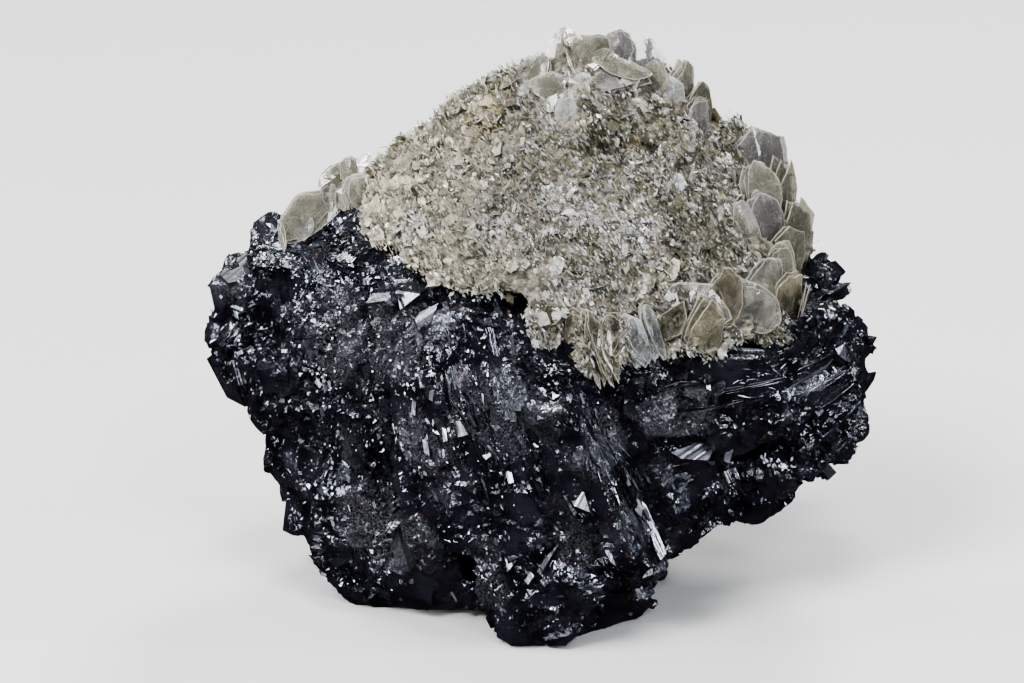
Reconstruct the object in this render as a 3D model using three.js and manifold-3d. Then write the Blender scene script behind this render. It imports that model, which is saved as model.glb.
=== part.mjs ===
// Cassiterite specimen: a black mass of intergrown tin-stone crystals that stands on its worn feet, with a
// crust of muscovite mica plates over its top and a smaller patch of mica books at its left end.
// Millimetres, +Z up, -Y is the specimen's face. The origin is under the middle of the bounding box, on the
// surface that the feet stand on. Names ending in Room are shapes grown by the clearance, for cutting.
import * as THREE from "three";
import { ConvexGeometry } from "three/addons/geometries/ConvexGeometry.js";
import { mergeVertices } from "three/addons/utils/BufferGeometryUtils.js";
import Module from "manifold-3d";

// --- Driving dimensions --------------------------------------------------------------------------

const CLEARANCE = 0.3; // between the mica and the black mass that it grew on
const FLOOR = 0; // the feet are worn flat at this height
const PLATE_THICKNESS = 0.55; // a book of mica sheets
const LAID_OUT_SIZE = 90; // wider than the specimen, for the cut at the floor
const BACK_FROM = 6; // the y where the back begins
const BACK_TOP = 25; // no crystal stands out of the back above this height
const TIP_SHARE = 0.3; // a crystal's pyramid, as a share of its width
const CRYSTAL_SIZES = [
  // how many stand out of the black blocks, how far apart, how large, and what part of their width is sunk
  { count: 24, spacing: 5.4, scale: 1.4, sunk: 0.4, back: false },
  { count: 46, spacing: 3.3, scale: 0.85, sunk: 0.3, back: false },
  { count: 24, spacing: 5.0, scale: 1.1, sunk: 0.38, back: true },
];
const CRUST_PLATES = { count: 40, spacing: 3.8 }; // mica plates that stand out of the crust

// The black blocks: each is one large crystal, given by its corners [x, y, z].
const BLACK_BLOCKS = {
  leftEnd: [
    [-25.6, 3.2, 23.4], [-25.8, 5.6, 18.0], [-24.4, 7.2, 14.6], [-24.2, 3.0, 25.6], [-22.4, 6.0, 28.2],
    [-22.0, -1.2, 22.0], [-21.0, 0.8, 28.2], [-20.2, -2.4, 15.5], [-22.2, 2.2, 13.8], [-19.0, 13.4, 26.0],
    [-21.5, 12.6, 17.0], [-14.0, 8.0, 14.0], [-13.0, 10.0, 29.0],
  ],
  leftShoulder: [
    [-20.8, 0.8, 28.6], [-21.4, 4.8, 29.6], [-19.0, -2.8, 26.0], [-18.4, -4.0, 18.0], [-19.6, -1.6, 14.0],
    [-13.0, -7.0, 29.4], [-12.0, -9.0, 25.5], [-11.5, -9.4, 15.5], [-14.4, 1.6, 32.0], [-9.0, 9.0, 30.0],
    [-7.0, -6.0, 31.6], [-6.5, -9.0, 14.0],
  ],
  leftWaist: [
    [-21.6, 4.2, 13.6], [-21.2, 5.0, 8.5], [-19.4, 4.8, 4.6], [-17.6, 4.4, 1.4], [-20.0, -0.6, 14.2],
    [-18.0, -4.4, 9.0], [-16.2, -4.4, 3.4], [-9.0, -9.0, 15.0], [-8.0, -8.6, 5.0], [-19.5, 11.5, 14.5],
    [-17.0, 11.0, 5.0], [-6.0, 10.0, 5.0],
  ],
  leftFoot: [
    [-15.5, -3.8, -0.6], [-16.4, -3.6, 3.2], [-17.8, 2.2, -0.6], [-18.0, 3.8, 3.2], [-14.0, -5.2, 3.8],
    [-6.8, -5.0, -0.6], [-6.2, -7.0, 2.0], [-6.4, -7.8, 5.0], [-14.0, 7.0, -0.6], [-6.0, 6.0, -0.6],
    [-8.0, 6.0, 6.0],
  ],
  frontWall: [
    [-12.4, -9.0, 26.0], [-11.4, -11.0, 17.0], [-10.6, -10.6, 8.0], [-6.5, -14.0, 21.0], [-7.0, -13.2, 9.0],
    [-5.0, -12.0, 27.6], [0.0, -14.2, 16.0], [-1.0, -14.0, 8.0], [3.0, -12.4, 25.0], [4.0, -12.4, 9.0],
    [-7.0, 6.0, 30.0], [6.0, 6.0, 30.0], [-8.0, 6.0, 6.0], [5.0, 6.0, 6.0],
  ],
  frontFoot: [
    [-3.4, -12.0, 0.4], [-2.2, -12.9, -0.5], [0.4, -12.2, -0.5], [-5.0, -11.2, 3.0], [-5.2, -12.6, 8.5],
    [1.0, -14.2, 9.6], [2.0, -13.6, 4.6], [5.4, -8.6, -0.5], [7.8, -6.6, -0.5], [8.2, -6.4, 3.4],
    [7.0, -10.0, 8.6], [6.0, 0.0, -0.5], [-3.0, -4.0, -0.5], [-4.0, 0.0, 8.0], [9.0, 2.0, 6.0],
  ],
  longPrism: [
    [0.4, -13.4, 23.0], [3.6, -12.2, 23.8], [5.4, -9.0, 23.4], [-0.4, -10.4, 22.4], [3.2, -14.4, 11.0],
    [6.9, -12.2, 6.2], [9.2, -9.4, 4.4], [9.8, -7.6, 5.2], [6.6, -12.8, 9.4], [7.6, -2.0, 4.0],
    [2.0, -6.0, 8.0],
  ],
  darkWedge: [
    [9.0, -8.8, 14.8], [14.8, -7.6, 15.8], [10.0, -6.4, 5.0], [10.4, -3.2, 4.0], [12.0, -2.6, 4.6],
    [14.0, -2.0, 6.0], [14.6, -5.2, 9.8], [7.0, -4.0, 18.0], [15.0, 2.0, 16.0], [8.0, 6.0, 5.4],
    [13.0, 4.0, 6.4],
  ],
  rightShelf: [
    [4.0, -12.8, 22.4], [9.0, -11.2, 24.0], [8.0, -11.2, 17.0], [13.6, -9.2, 22.8], [14.8, -8.2, 16.4],
    [17.6, -7.0, 23.0], [19.6, -5.6, 16.0], [6.0, 4.0, 30.0], [19.0, 4.0, 27.4], [12.0, 4.0, 12.0],
    [21.0, 2.0, 12.0],
  ],
  rightEnd: [
    [20.0, -4.8, 22.0], [22.0, 1.2, 26.4], [23.8, 1.8, 23.8], [25.2, 0.8, 21.6], [26.4, 1.2, 17.6],
    [26.0, 3.2, 13.8], [24.0, 3.8, 11.6], [21.4, -3.6, 12.2], [18.4, -6.4, 17.0], [24.4, -1.6, 16.0],
    [22.0, 11.0, 24.0], [23.2, 10.0, 14.0], [14.0, 8.0, 26.0], [14.0, 8.0, 12.0],
  ],
  rightKeel: [
    [15.0, 1.4, 7.2], [19.0, 1.2, 7.4], [20.4, 2.4, 8.4], [21.4, 2.2, 10.4], [15.4, -5.2, 12.6],
    [20.0, -3.2, 12.2], [13.8, -0.4, 7.0], [20.2, 8.0, 12.4], [16.0, 10.0, 8.4], [9.0, 8.0, 10.0],
    [9.0, 4.0, 6.0],
  ],
  mound: [
    [-14.0, 1.0, 32.6], [-8.0, -6.0, 30.0], [0.0, -8.8, 27.4], [8.0, -9.0, 26.0], [16.0, -5.0, 26.4],
    [-7.0, 3.8, 35.6], [0.0, 4.0, 38.0], [5.0, 4.4, 39.2], [9.6, 5.0, 37.0], [15.0, 5.4, 32.4],
    [19.0, 4.0, 29.0], [17.0, 11.0, 30.4], [8.0, 12.6, 35.0], [-2.0, 12.4, 35.4], [-11.0, 11.0, 32.4],
    [-12.0, 14.4, 27.0], [12.0, 14.8, 27.0], [0.0, 2.0, 22.0],
  ],
  backWall: [
    [-19.0, 13.4, 27.0], [-20.0, 12.8, 16.0], [-12.0, 16.6, 24.0], [-11.0, 15.6, 12.0], [-6.0, 15.4, 32.6],
    [2.0, 17.8, 22.0], [0.0, 16.0, 9.0], [6.0, 15.4, 31.0], [12.0, 16.0, 21.0], [12.0, 13.2, 9.6],
    [-8.0, 4.0, 30.0], [8.0, 4.0, 8.0], [-10.0, 4.0, 8.0],
  ],
  backFoot: [
    [-9.6, 10.4, -0.6], [-10.4, 13.6, 8.0], [-5.0, 14.2, -0.6], [-3.0, 16.2, 9.0], [4.6, 13.2, -0.6],
    [8.4, 13.8, 8.0], [6.4, 7.0, -0.6], [9.0, 5.0, 8.0], [-8.0, 3.0, -0.6], [-9.0, 3.0, 9.0],
  ],
  backRight: [
    [13.0, 15.6, 28.0], [18.8, 13.2, 27.0], [22.0, 11.2, 19.0], [17.0, 15.2, 14.0], [11.0, 16.4, 15.0],
    [19.6, 10.0, 9.6], [12.0, 8.0, 9.0], [10.0, 6.0, 28.0],
  ],
  underside: [
    [-15.0, -2.0, 1.2], [-4.0, -8.0, 1.0], [5.0, -8.0, 0.8], [8.0, 0.0, 1.2], [-14.0, 8.0, 1.4],
    [6.0, 10.0, 1.0], [-12.0, 0.0, 12.0], [8.0, 0.0, 12.0], [0.0, 10.0, 12.0],
  ],
};

// How each part of the mass grew: crystals near a middle share its long axis, and are long or stout.
const GROWTH = [
  { middle: [-23, 3, 22], axis: [-0.3, -0.2, 0.93], length: 5.4, width: 2.5 },
  { middle: [-17, -4, 25], axis: [0.62, -0.5, 0.6], length: 4.6, width: 3.2 },
  { middle: [-19, 4, 8], axis: [0.3, -0.1, -0.95], length: 6.6, width: 3.0 },
  { middle: [-13, -6, 12], axis: [0.42, -0.1, -0.9], length: 7.0, width: 3.0 },
  { middle: [-12, -5, 3], axis: [0.94, 0.1, -0.3], length: 5.6, width: 3.4 },
  { middle: [-8, -12, 20], axis: [0.34, -0.16, -0.93], length: 8.0, width: 2.9 },
  { middle: [-4, -14, 6], axis: [0.5, -0.3, 0.8], length: 6.0, width: 3.4 },
  { middle: [3.6, -12, 15], axis: [0.37, 0.08, -0.93], length: 8.4, width: 2.3 },
  { middle: [12, -9, 20], axis: [0.6, -0.62, 0.5], length: 4.4, width: 3.0 },
  { middle: [14, -2, 8], axis: [0.3, -0.5, -0.8], length: 4.6, width: 3.0 },
  { middle: [6, -8, 2], axis: [0.8, -0.6, 0.1], length: 4.6, width: 3.2 },
  { middle: [23, 2, 17], axis: [0.78, -0.2, 0.59], length: 6.0, width: 3.0 },
  { middle: [-12, 14, 20], axis: [-0.4, 0.5, 0.77], length: 9.0, width: 5.0 },
  { middle: [3, 16, 16], axis: [0.25, 0.3, 0.92], length: 10.0, width: 5.0 },
  { middle: [17, 13, 20], axis: [0.6, 0.6, 0.5], length: 8.0, width: 5.0 },
  { middle: [0, 12, 5], axis: [-0.6, 0.5, -0.6], length: 7.0, width: 4.4 },
];

// The steep prisms of the middle, side by side and nearly parallel, by their middles.
const STEEP_AXIS = [0.34, -0.08, -0.93];
const STEEP_PRISMS = [
  { at: [-11.0, -8.8, 17.6], length: 8.0, width: 2.6 },
  { at: [-9.4, -10.2, 22.6], length: 8.4, width: 2.4 },
  { at: [-8.4, -10.8, 14.4], length: 7.6, width: 2.8 },
  { at: [-6.6, -11.8, 20.4], length: 9.6, width: 2.2 },
  { at: [-5.2, -12.3, 14.0], length: 8.8, width: 3.0 },
  { at: [-4.0, -12.4, 22.2], length: 8.0, width: 2.4 },
  { at: [-2.4, -12.9, 17.2], length: 9.0, width: 2.4 },
  { at: [-1.2, -12.9, 11.0], length: 6.8, width: 3.0 },
  { at: [0.6, -12.8, 18.4], length: 9.4, width: 2.0 },
  { at: [2.0, -13.2, 14.6], length: 10.0, width: 1.8 },
  { at: [4.4, -12.8, 13.0], length: 13.0, width: 1.7 },
  { at: [6.4, -11.4, 11.6], length: 14.0, width: 1.9 },
];

// The ridged crystal at the right: fans of thin growth layers that lap like roof slates. Each runs from one
// layer's middle and direction to another's.
const RIDGE_FANS = [
  {
    first: { at: [14.2, -9.6, 22.6], along: [0.96, 0.1, 0.05], length: 8.0 },
    last: { at: [16.6, -7.2, 15.6], along: [0.94, 0.14, 0.3], length: 7.0 },
    depth: 3.4,
    layers: 7,
  },
  {
    first: { at: [19.6, -5.0, 24.2], along: [0.9, 0.36, 0.1], length: 6.6 },
    last: { at: [22.8, -2.0, 12.4], along: [0.66, 0.34, 0.68], length: 7.4 },
    depth: 3.6,
    layers: 11,
  },
];
const RIDGE_FACES = [0.3, -0.93, 0.2]; // the way that the ridges stand out

// Single crystals that stand out: the small flat-ended one on the right shelf, and those at the ends.
const LONE_CRYSTALS = [
  { at: [12.4, -8.2, 20.6], axis: [0.25, -0.9, 0.35], out: [1, 0.2, 0.4], length: 4.4, width: 2, tip: 0 },
  { at: [10, -9.6, 21.6], axis: [0.5, -0.7, 0.5], out: [0, -0.4, 1], length: 4, width: 1.8, tip: 0.5 },
  { at: [21.6, -1.4, 11.6], axis: [0.7, -0.4, -0.6], out: [1, -1, 0.8], length: 5, width: 2.4, tip: 0.7 },
  { at: [18.6, -3.4, 12], axis: [0.3, -0.3, -0.9], out: [0.5, -0.9, 0], length: 4.6, width: 2.4, tip: 0.8 },
  { at: [24.2, 2, 12], axis: [0.2, 0.1, -0.97], out: [0.7, -0.7, 0], length: 4, width: 2.4, tip: 0.8 },
  { at: [-21.6, 5.6, 28.4], axis: [-0.1, 0.1, 0.98], out: [-1, -0.3, 0], length: 4, width: 2.8, tip: 0.9 },
  { at: [-19.6, 3.6, 5.4], axis: [-0.1, -0.3, -0.9], out: [-4, -3, 0], length: 4.6, width: 2.4, tip: 0.9 },
];

// The crust's main swellings, again by their corners. The black mass is cut away from under them.
const CRUST_SWELLINGS = {
  left: [
    [-14.2, -3.8, 31.6], [-12.4, -6.4, 30.8], [-9.6, -8.6, 29.8], [-13.8, 3.4, 34.4], [-11.4, 3.4, 36.0],
    [-8.8, 3.2, 38.2], [-6.0, -11.0, 28.4], [-3.0, -11.4, 28.8], [-5.0, -3.4, 36.4], [-12.0, 9.4, 33.6],
    [-3.0, 2.6, 41.0], [-1.0, -3.0, 30.0], [-4.0, 8.0, 34.0],
  ],
  saddle: [
    [-8.4, 2.0, 39.0], [-7.2, 1.4, 40.2], [-4.4, 3.0, 41.8], [-1.6, 4.0, 42.6], [-6.0, -4.0, 35.4],
    [2.0, -4.6, 38.0], [2.0, 3.0, 44.2], [-7.0, 11.8, 36.6], [2.0, 13.0, 37.6], [6.0, -1.0, 41.4],
    [4.0, -4.0, 30.0], [-4.0, 0.0, 30.0],
  ],
  front: [
    [-1.6, -11.8, 28.2], [0.6, -13.6, 26.2], [4.0, -14.0, 25.0], [8.6, -12.6, 25.2], [-4.0, -10.4, 30.4],
    [11.0, -9.8, 29.8], [-2.0, -4.0, 37.0], [8.4, -4.0, 37.8], [3.0, -9.8, 32.6], [4.0, 0.0, 32.0],
    [10.0, -2.0, 28.0],
  ],
  crown: [
    [1.8, 2.8, 45.0], [4.4, 2.6, 45.0], [8.4, 4.0, 43.5], [13.0, 4.4, 40.0], [3.0, -2.6, 41.2],
    [11.6, -2.4, 37.6], [4.0, 11.0, 40.2], [11.0, 10.6, 38.2], [0.0, 6.0, 41.8], [2.0, -2.0, 32.0],
    [12.0, 0.0, 30.0], [6.0, 10.0, 34.0],
  ],
  right: [
    [9.6, -11.8, 26.0], [13.6, -10.2, 25.0], [17.4, -7.8, 25.6], [19.4, -3.2, 27.6], [20.8, 1.8, 27.6],
    [19.7, 3.2, 32.2], [19.1, 4.6, 35.2], [15.0, 5.8, 37.2], [12.8, 3.8, 38.8], [9.0, -4.2, 37.2],
    [17.6, 11.2, 30.8], [11.0, 11.8, 35.8], [8.0, -2.0, 28.0], [16.0, 4.0, 27.0],
  ],
};

// Large mica books by their middles, the way each faces, and their radius: the rosettes along the crust's
// right and lower rim, the upright fans in the middle of its fringe, and the blades along its crown.
const RIM_BOOKS = [
  { at: [17.4, 2.6, 33.4], faces: [0.35, -0.9, 0.25], radius: 2.9 },
  { at: [18.8, 1.4, 30.8], faces: [0.62, -0.76, 0.2], radius: 2.8 },
  { at: [19.8, 0.4, 28.6], faces: [0.4, -0.88, 0.25], radius: 2.6 },
  { at: [15.8, -1.6, 31.8], faces: [0.1, -0.94, 0.32], radius: 2.7 },
  { at: [16.8, -4.4, 28.8], faces: [0.3, -0.9, 0.3], radius: 2.6 },
  { at: [10.4, -11.8, 26.0], faces: [0.0, -0.84, 0.54], radius: 2.6 },
  { at: [12.8, -11.2, 25.6], faces: [0.5, -0.84, 0.2], radius: 2.7 },
  { at: [14.6, -9.8, 26.6], faces: [-0.1, -0.9, 0.42], radius: 2.6 },
  { at: [16.6, -8.6, 26.0], faces: [0.42, -0.86, 0.3], radius: 2.6 },
  { at: [18.8, -6.6, 25.2], faces: [0.9, -0.4, 0.2], radius: 2.4 },
  { at: [3.2, -14.0, 25.4], faces: [0.96, -0.2, 0.2], radius: 2.4 },
  { at: [5.0, -13.8, 25.6], faces: [-0.86, -0.5, 0.1], radius: 2.4 },
  { at: [6.6, -13.4, 26.0], faces: [0.8, -0.58, 0.1], radius: 2.1 },
  { at: [0.4, -13.2, 27.0], faces: [0.3, -0.9, 0.3], radius: 2.1 },
  { at: [2.2, 3.0, 43.0], faces: [-0.5, -0.8, 0.3], radius: 2.2 },
  { at: [5.8, 3.6, 42.4], faces: [0.3, -0.86, 0.4], radius: 2.4 },
  { at: [9.2, 4.0, 40.6], faces: [0.62, -0.7, 0.36], radius: 2.4 },
  { at: [11.8, 4.0, 38.0], faces: [0.8, -0.5, 0.3], radius: 2.2 },
];

// The patch of books at the left end, apart from the crust.
const LEFT_BOOKS = [
  { at: [-19.2, -0.2, 30.6], faces: [-0.35, -0.8, 0.5], radius: 2.1 },
  { at: [-17.7, 0.2, 31.6], faces: [0.1, -0.84, 0.54], radius: 2.2 },
  { at: [-16.5, 1.2, 32.4], faces: [-0.3, -0.7, 0.64], radius: 2.1 },
  { at: [-15.4, 2.4, 33.4], faces: [0.5, -0.6, 0.6], radius: 2.0 },
  { at: [-20.2, -0.4, 29.6], faces: [-0.7, -0.5, 0.5], radius: 1.5 },
];

// --- Shapes --------------------------------------------------------------------------------------

const wasm = await Module();
wasm.setup();

const vector = ([x, y, z]) => new THREE.Vector3(x, y, z);
const random = () => THREE.MathUtils.seededRandom();
const between = (low, high) => low + (high - low) * random();
THREE.MathUtils.seededRandom(220);

// A closed geometry as a solid that can be joined and cut.
function solidOf(geometry) {
  const bare = geometry.clone();
  bare.deleteAttribute("normal");
  bare.deleteAttribute("uv");
  const merged = mergeVertices(bare, 1e-4);
  return new wasm.Manifold(
    new wasm.Mesh({
      numProp: 3,
      vertProperties: merged.attributes.position.array,
      triVerts: new Uint32Array(merged.index.array),
    }),
  );
}

// A solid as a geometry for a mesh.
function geometryOf(solid) {
  const { vertProperties, triVerts } = solid.getMesh();
  const geometry = new THREE.BufferGeometry();
  geometry.setAttribute("position", new THREE.BufferAttribute(new Float32Array(vertProperties), 3));
  geometry.setIndex(new THREE.BufferAttribute(new Uint32Array(triVerts), 1));
  return geometry.toNonIndexed();
}

const joined = (solids) => solids.reduce((whole, next) => whole.add(next));

// The largest separate body of a solid, without the chips that a cut leaves.
function largestBody(solid) {
  return solid.decompose().sort((a, b) => b.volume() - a.volume())[0];
}

// The turn that carries +Z to a direction and then spins about it.
function facing(direction, turn = 0) {
  const up = new THREE.Vector3(0, 0, 1);
  const tilt = new THREE.Quaternion().setFromUnitVectors(up, direction.clone().normalize());
  const spin = new THREE.Quaternion().setFromAxisAngle(up, THREE.MathUtils.degToRad(turn));
  return tilt.multiply(spin);
}

// A block between its corners, grown outwards by a margin.
function block(points, margin = 0) {
  const middle = points.reduce((sum, p) => sum.add(p), new THREE.Vector3()).divideScalar(points.length);
  const grown = points.map((p) => p.clone().addScaledVector(p.clone().sub(middle).normalize(), margin));
  return solidOf(new ConvexGeometry(grown));
}

// A four-sided prism with a low pyramid at each end, as cassiterite grows. One of its sides looks out, and
// its long edges may be bevelled.
function crystal({ at, axis, out, length, width, tip, bevel = 1, margin = 0 }) {
  const along = axis.clone().normalize();
  const across = new THREE.Vector3().crossVectors(along, out).normalize();
  const pose = new THREE.Matrix4().makeBasis(new THREE.Vector3().crossVectors(across, along), across, along);
  const half = width / 2 + margin;
  const shoulder = length / 2 + margin - tip;
  const corners = [[1, 1], [-1, 1], [-1, -1], [1, -1]];
  const bevelled = corners.flatMap(([x, y]) => [[x, y * bevel], [x * bevel, y]]);
  const ring = bevel < 1 ? bevelled : corners;
  const points = [];
  for (const end of [-1, 1]) {
    for (const [x, y] of ring) {
      points.push(new THREE.Vector3(x * half, y * half, end * shoulder));
    }
    if (tip > 0) {
      points.push(new THREE.Vector3(0, 0, end * (shoulder + tip)));
    }
  }
  return solidOf(new ConvexGeometry(points.map((p) => p.applyMatrix4(pose).add(at))));
}

// Points spread over a solid's surface, at least a spacing apart, each with the face's normal.
function spread(solid, count, spacing, wanted) {
  const { vertProperties, triVerts } = solid.getMesh();
  const corner = (i) => new THREE.Vector3().fromArray(vertProperties, triVerts[i] * 3);
  const triangles = [];
  let area = 0;
  for (let i = 0; i < triVerts.length; i += 3) {
    const triangle = new THREE.Triangle(corner(i), corner(i + 1), corner(i + 2));
    area += triangle.getArea();
    triangles.push({ triangle, upTo: area });
  }
  const found = [];
  for (let tries = 0; tries < count * 60 && found.length < count; tries++) {
    const pick = random() * area;
    const { triangle } = triangles.find((t) => t.upTo >= pick);
    const u = Math.sqrt(random());
    const v = random();
    const at = triangle.a.clone().multiplyScalar(1 - u);
    at.addScaledVector(triangle.b, u * (1 - v)).addScaledVector(triangle.c, u * v);
    const normal = triangle.getNormal(new THREE.Vector3());
    if (wanted(at, normal) && found.every((f) => f.at.distanceTo(at) > spacing)) {
      found.push({ at, normal });
    }
  }
  return found;
}

// A plate of mica with uneven corners, standing for a thin book of sheets.
function plate({ at, faces, radius, sides = 6 }) {
  const pose = facing(faces, between(0, 60));
  const points = [];
  for (let i = 0; i < sides; i++) {
    const angle = (i * 2 * Math.PI) / sides + between(-0.15, 0.15);
    const reach = radius * between(0.86, 1.04);
    const edge = new THREE.Vector3(Math.cos(angle) * reach, Math.sin(angle) * reach, 0);
    for (const side of [-0.5, 0.5]) {
      points.push(edge.clone().setZ(side * PLATE_THICKNESS));
    }
  }
  return solidOf(new ConvexGeometry(points.map((p) => p.applyQuaternion(pose).add(at))));
}

// --- The black mass ------------------------------------------------------------------------------

function growthNear(at) {
  const distance = ({ middle }) => at.distanceTo(vector(middle));
  return GROWTH.reduce((best, next) => (distance(next) < distance(best) ? next : best));
}

const underMica = (at) => at.z > 29 || (at.z > 26 && at.x > -12 && at.y < 0);
const standsClear = (at) => at.z > 0.8 && !underMica(at);
const jitter = (size) => new THREE.Vector3(between(-size, size), between(-size, size), between(-size, size));

// The crystals of one size that stand out of the blocks, turned as the part of the mass around them grew.
function scatteredCrystals(blocks, { count, spacing, scale, sunk, back }) {
  const onThisSide = (at) => (back ? at.y >= BACK_FROM && at.z < BACK_TOP : at.y < BACK_FROM);
  const wanted = (at) => standsClear(at) && onThisSide(at);
  return spread(blocks, count, spacing, wanted).map(({ at, normal }) => {
    const grown = growthNear(at);
    const size = scale * between(0.75, 1.25);
    const width = grown.width * size;
    return {
      at: at.clone().addScaledVector(normal, -sunk * width),
      axis: vector(grown.axis).normalize().add(jitter(0.1)),
      out: normal.clone().add(jitter(0.35)),
      length: grown.length * size,
      width,
      tip: TIP_SHARE * width,
    };
  });
}

// The corners of one fan's layers: wedges with a thin edge outwards, each turned a little from the last.
function ridgeLayers({ first, last, depth, layers }) {
  const pitch = vector(first.at).distanceTo(vector(last.at)) / (layers - 1);
  return Array.from({ length: layers }, (_, i) => {
    const t = i / (layers - 1);
    const at = vector(first.at).lerp(vector(last.at), t).add(jitter(0.12));
    const run = vector(first.along).lerp(vector(last.along), t).add(jitter(0.04)).normalize();
    const across = new THREE.Vector3().crossVectors(vector(RIDGE_FACES), run).normalize();
    const out = new THREE.Vector3().crossVectors(run, across);
    const half = (THREE.MathUtils.lerp(first.length, last.length, t) / 2) * between(0.85, 1.1);
    const root = -depth / 2;
    const edge = depth / 2 + between(-0.35, 0.4);
    const section = [[root, pitch], [root, -pitch], [edge, 0.35 * pitch], [edge, -0.1 * pitch]];
    const points = [];
    for (const end of [-1, 1]) {
      for (const [reach, rise] of section) {
        const taper = reach > 0 ? 0.88 : 1;
        const corner = at.clone().addScaledVector(run, end * half * taper);
        points.push(corner.addScaledVector(out, reach).addScaledVector(across, rise));
      }
    }
    return points;
  });
}

const loneCrystals = LONE_CRYSTALS.map(({ at, axis, out, ...size }) => ({
  ...size,
  bevel: 0.4,
  at: vector(at),
  axis: vector(axis),
  out: vector(out),
}));
const blockCorners = Object.values(BLACK_BLOCKS).map((corners) => corners.map(vector));
const blackBlocks = joined(blockCorners.map((corners) => block(corners)));
const steepPrisms = STEEP_PRISMS.map(({ at, length, width }) => ({
  at: vector(at),
  axis: vector(STEEP_AXIS).add(jitter(0.05)),
  out: new THREE.Vector3(between(-0.9, 0.9), -1, 0),
  length,
  width,
  tip: TIP_SHARE * width,
}));
const scattered = CRYSTAL_SIZES.flatMap((size) => scatteredCrystals(blackBlocks, size));
const crystals = [...loneCrystals, ...steepPrisms, ...scattered];
const ridgeCorners = RIDGE_FANS.flatMap(ridgeLayers);

// Everything under the floor, which the feet are worn flat against.
const floorCut = new THREE.BoxGeometry(LAID_OUT_SIZE, LAID_OUT_SIZE, LAID_OUT_SIZE);
const underFloor = solidOf(floorCut.translate(0, 0, FLOOR - LAID_OUT_SIZE / 2));
const ridges = ridgeCorners.map((corners) => block(corners));
const blackWhole = joined([blackBlocks, ...crystals.map(crystal), ...ridges]);
const blackMass = largestBody(blackWhole.subtract(underFloor));

// The same mass, larger by the clearance all round, which is cut from under the mica.
const blackRoom = joined([
  ...blockCorners.map((corners) => block(corners, CLEARANCE * 1.7)),
  ...crystals.map((c) => crystal({ ...c, margin: CLEARANCE })),
  ...ridgeCorners.map((corners) => block(corners, CLEARANCE * 1.7)),
]);

// --- The mica ------------------------------------------------------------------------------------

const swellingCorners = Object.values(CRUST_SWELLINGS).map((corners) => corners.map(vector));
const swellings = joined(swellingCorners.map((corners) => block(corners)));
const onTop = (at, normal) => normal.z > 0;
const platePlaces = spread(swellings, CRUST_PLATES.count, CRUST_PLATES.spacing, onTop);
const crustPlates = platePlaces.map(({ at, normal }) => ({
  at: at.clone().addScaledVector(normal, -0.3),
  faces: normal.clone().add(jitter(0.9)),
  radius: between(1.3, 2.1),
  sides: 5,
}));
const bookOf = ({ at, faces, radius }) => plate({ at: vector(at), faces: vector(faces), radius });
const crustWhole = joined([swellings, ...crustPlates.map(plate), ...RIM_BOOKS.map(bookOf)]);
const micaCrust = largestBody(crustWhole.subtract(blackRoom));

const crustRoom = joined(swellingCorners.map((corners) => block(corners, CLEARANCE * 2)));
const leftWhole = joined(LEFT_BOOKS.map(bookOf));
const leftBooks = largestBody(leftWhole.subtract(blackRoom).subtract(crustRoom));

// --- The specimen --------------------------------------------------------------------------------

const finish = (color, roughness) =>
  new THREE.MeshStandardMaterial({ color, roughness, metalness: 0, flatShading: true });
const cassiterite = finish(0x16161b, 0.16);
const muscovite = finish(0xc9c3a6, 0.35);
const bookMica = finish(0xaab09c, 0.3);

const pieces = [
  ["cassiterite_mass", blackMass, cassiterite],
  ["mica_crust", micaCrust, muscovite],
  ["mica_books_left", leftBooks, bookMica],
];
const specimen = new THREE.Group();
for (const [name, solid, material] of pieces) {
  const mesh = new THREE.Mesh(geometryOf(solid), material);
  mesh.name = name;
  specimen.add(mesh);
}

// The origin goes under the middle of the bounding box.
const middle = new THREE.Box3().setFromObject(specimen).getCenter(new THREE.Vector3());
specimen.position.set(-middle.x, -middle.y, -FLOOR);

export default specimen;
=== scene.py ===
"""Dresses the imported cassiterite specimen: black crystals under a crust of pale mica.

The black mass gets its crystal faces, its druse and its growth ridges, and the mica gets its flakes and
its books of sheets. Lengths are in millimetres until a mesh is made, which turns them into metres. The
specimen's face looks along -Y.
"""

import logging
import math
from dataclasses import dataclass, field, replace
from enum import Enum, IntEnum
from typing import Callable, ClassVar, Optional, Union

import bpy
import numpy as np
from mathutils import Matrix, Vector
from mathutils.bvhtree import BVHTree


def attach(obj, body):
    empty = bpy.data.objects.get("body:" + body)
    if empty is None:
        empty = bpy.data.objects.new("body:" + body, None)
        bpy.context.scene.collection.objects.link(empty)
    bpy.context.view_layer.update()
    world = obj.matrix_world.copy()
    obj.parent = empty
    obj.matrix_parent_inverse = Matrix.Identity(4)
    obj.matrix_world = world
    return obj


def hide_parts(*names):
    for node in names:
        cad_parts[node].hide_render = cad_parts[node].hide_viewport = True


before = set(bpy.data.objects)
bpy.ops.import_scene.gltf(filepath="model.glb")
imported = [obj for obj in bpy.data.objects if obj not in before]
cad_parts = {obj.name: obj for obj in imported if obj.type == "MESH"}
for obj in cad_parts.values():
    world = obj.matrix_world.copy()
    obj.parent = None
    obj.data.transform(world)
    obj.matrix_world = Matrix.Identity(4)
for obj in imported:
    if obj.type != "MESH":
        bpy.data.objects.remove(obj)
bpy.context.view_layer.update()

Array = np.ndarray
Triple = tuple[float, float, float]
Pair = tuple[float, float]
MM = 0.001
SHIFT = np.array([-0.0416, -1.5293, 0.0])  # from the middle of the crystals to the middle of the box
CLEAR_OF_FLOOR = 0.02  # the lowest that a crystal may reach
CELL_KEYS = np.array([73856093, 19349663, 83492791])  # large primes that tell cells apart
SEED_KEY = 2654435761
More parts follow.
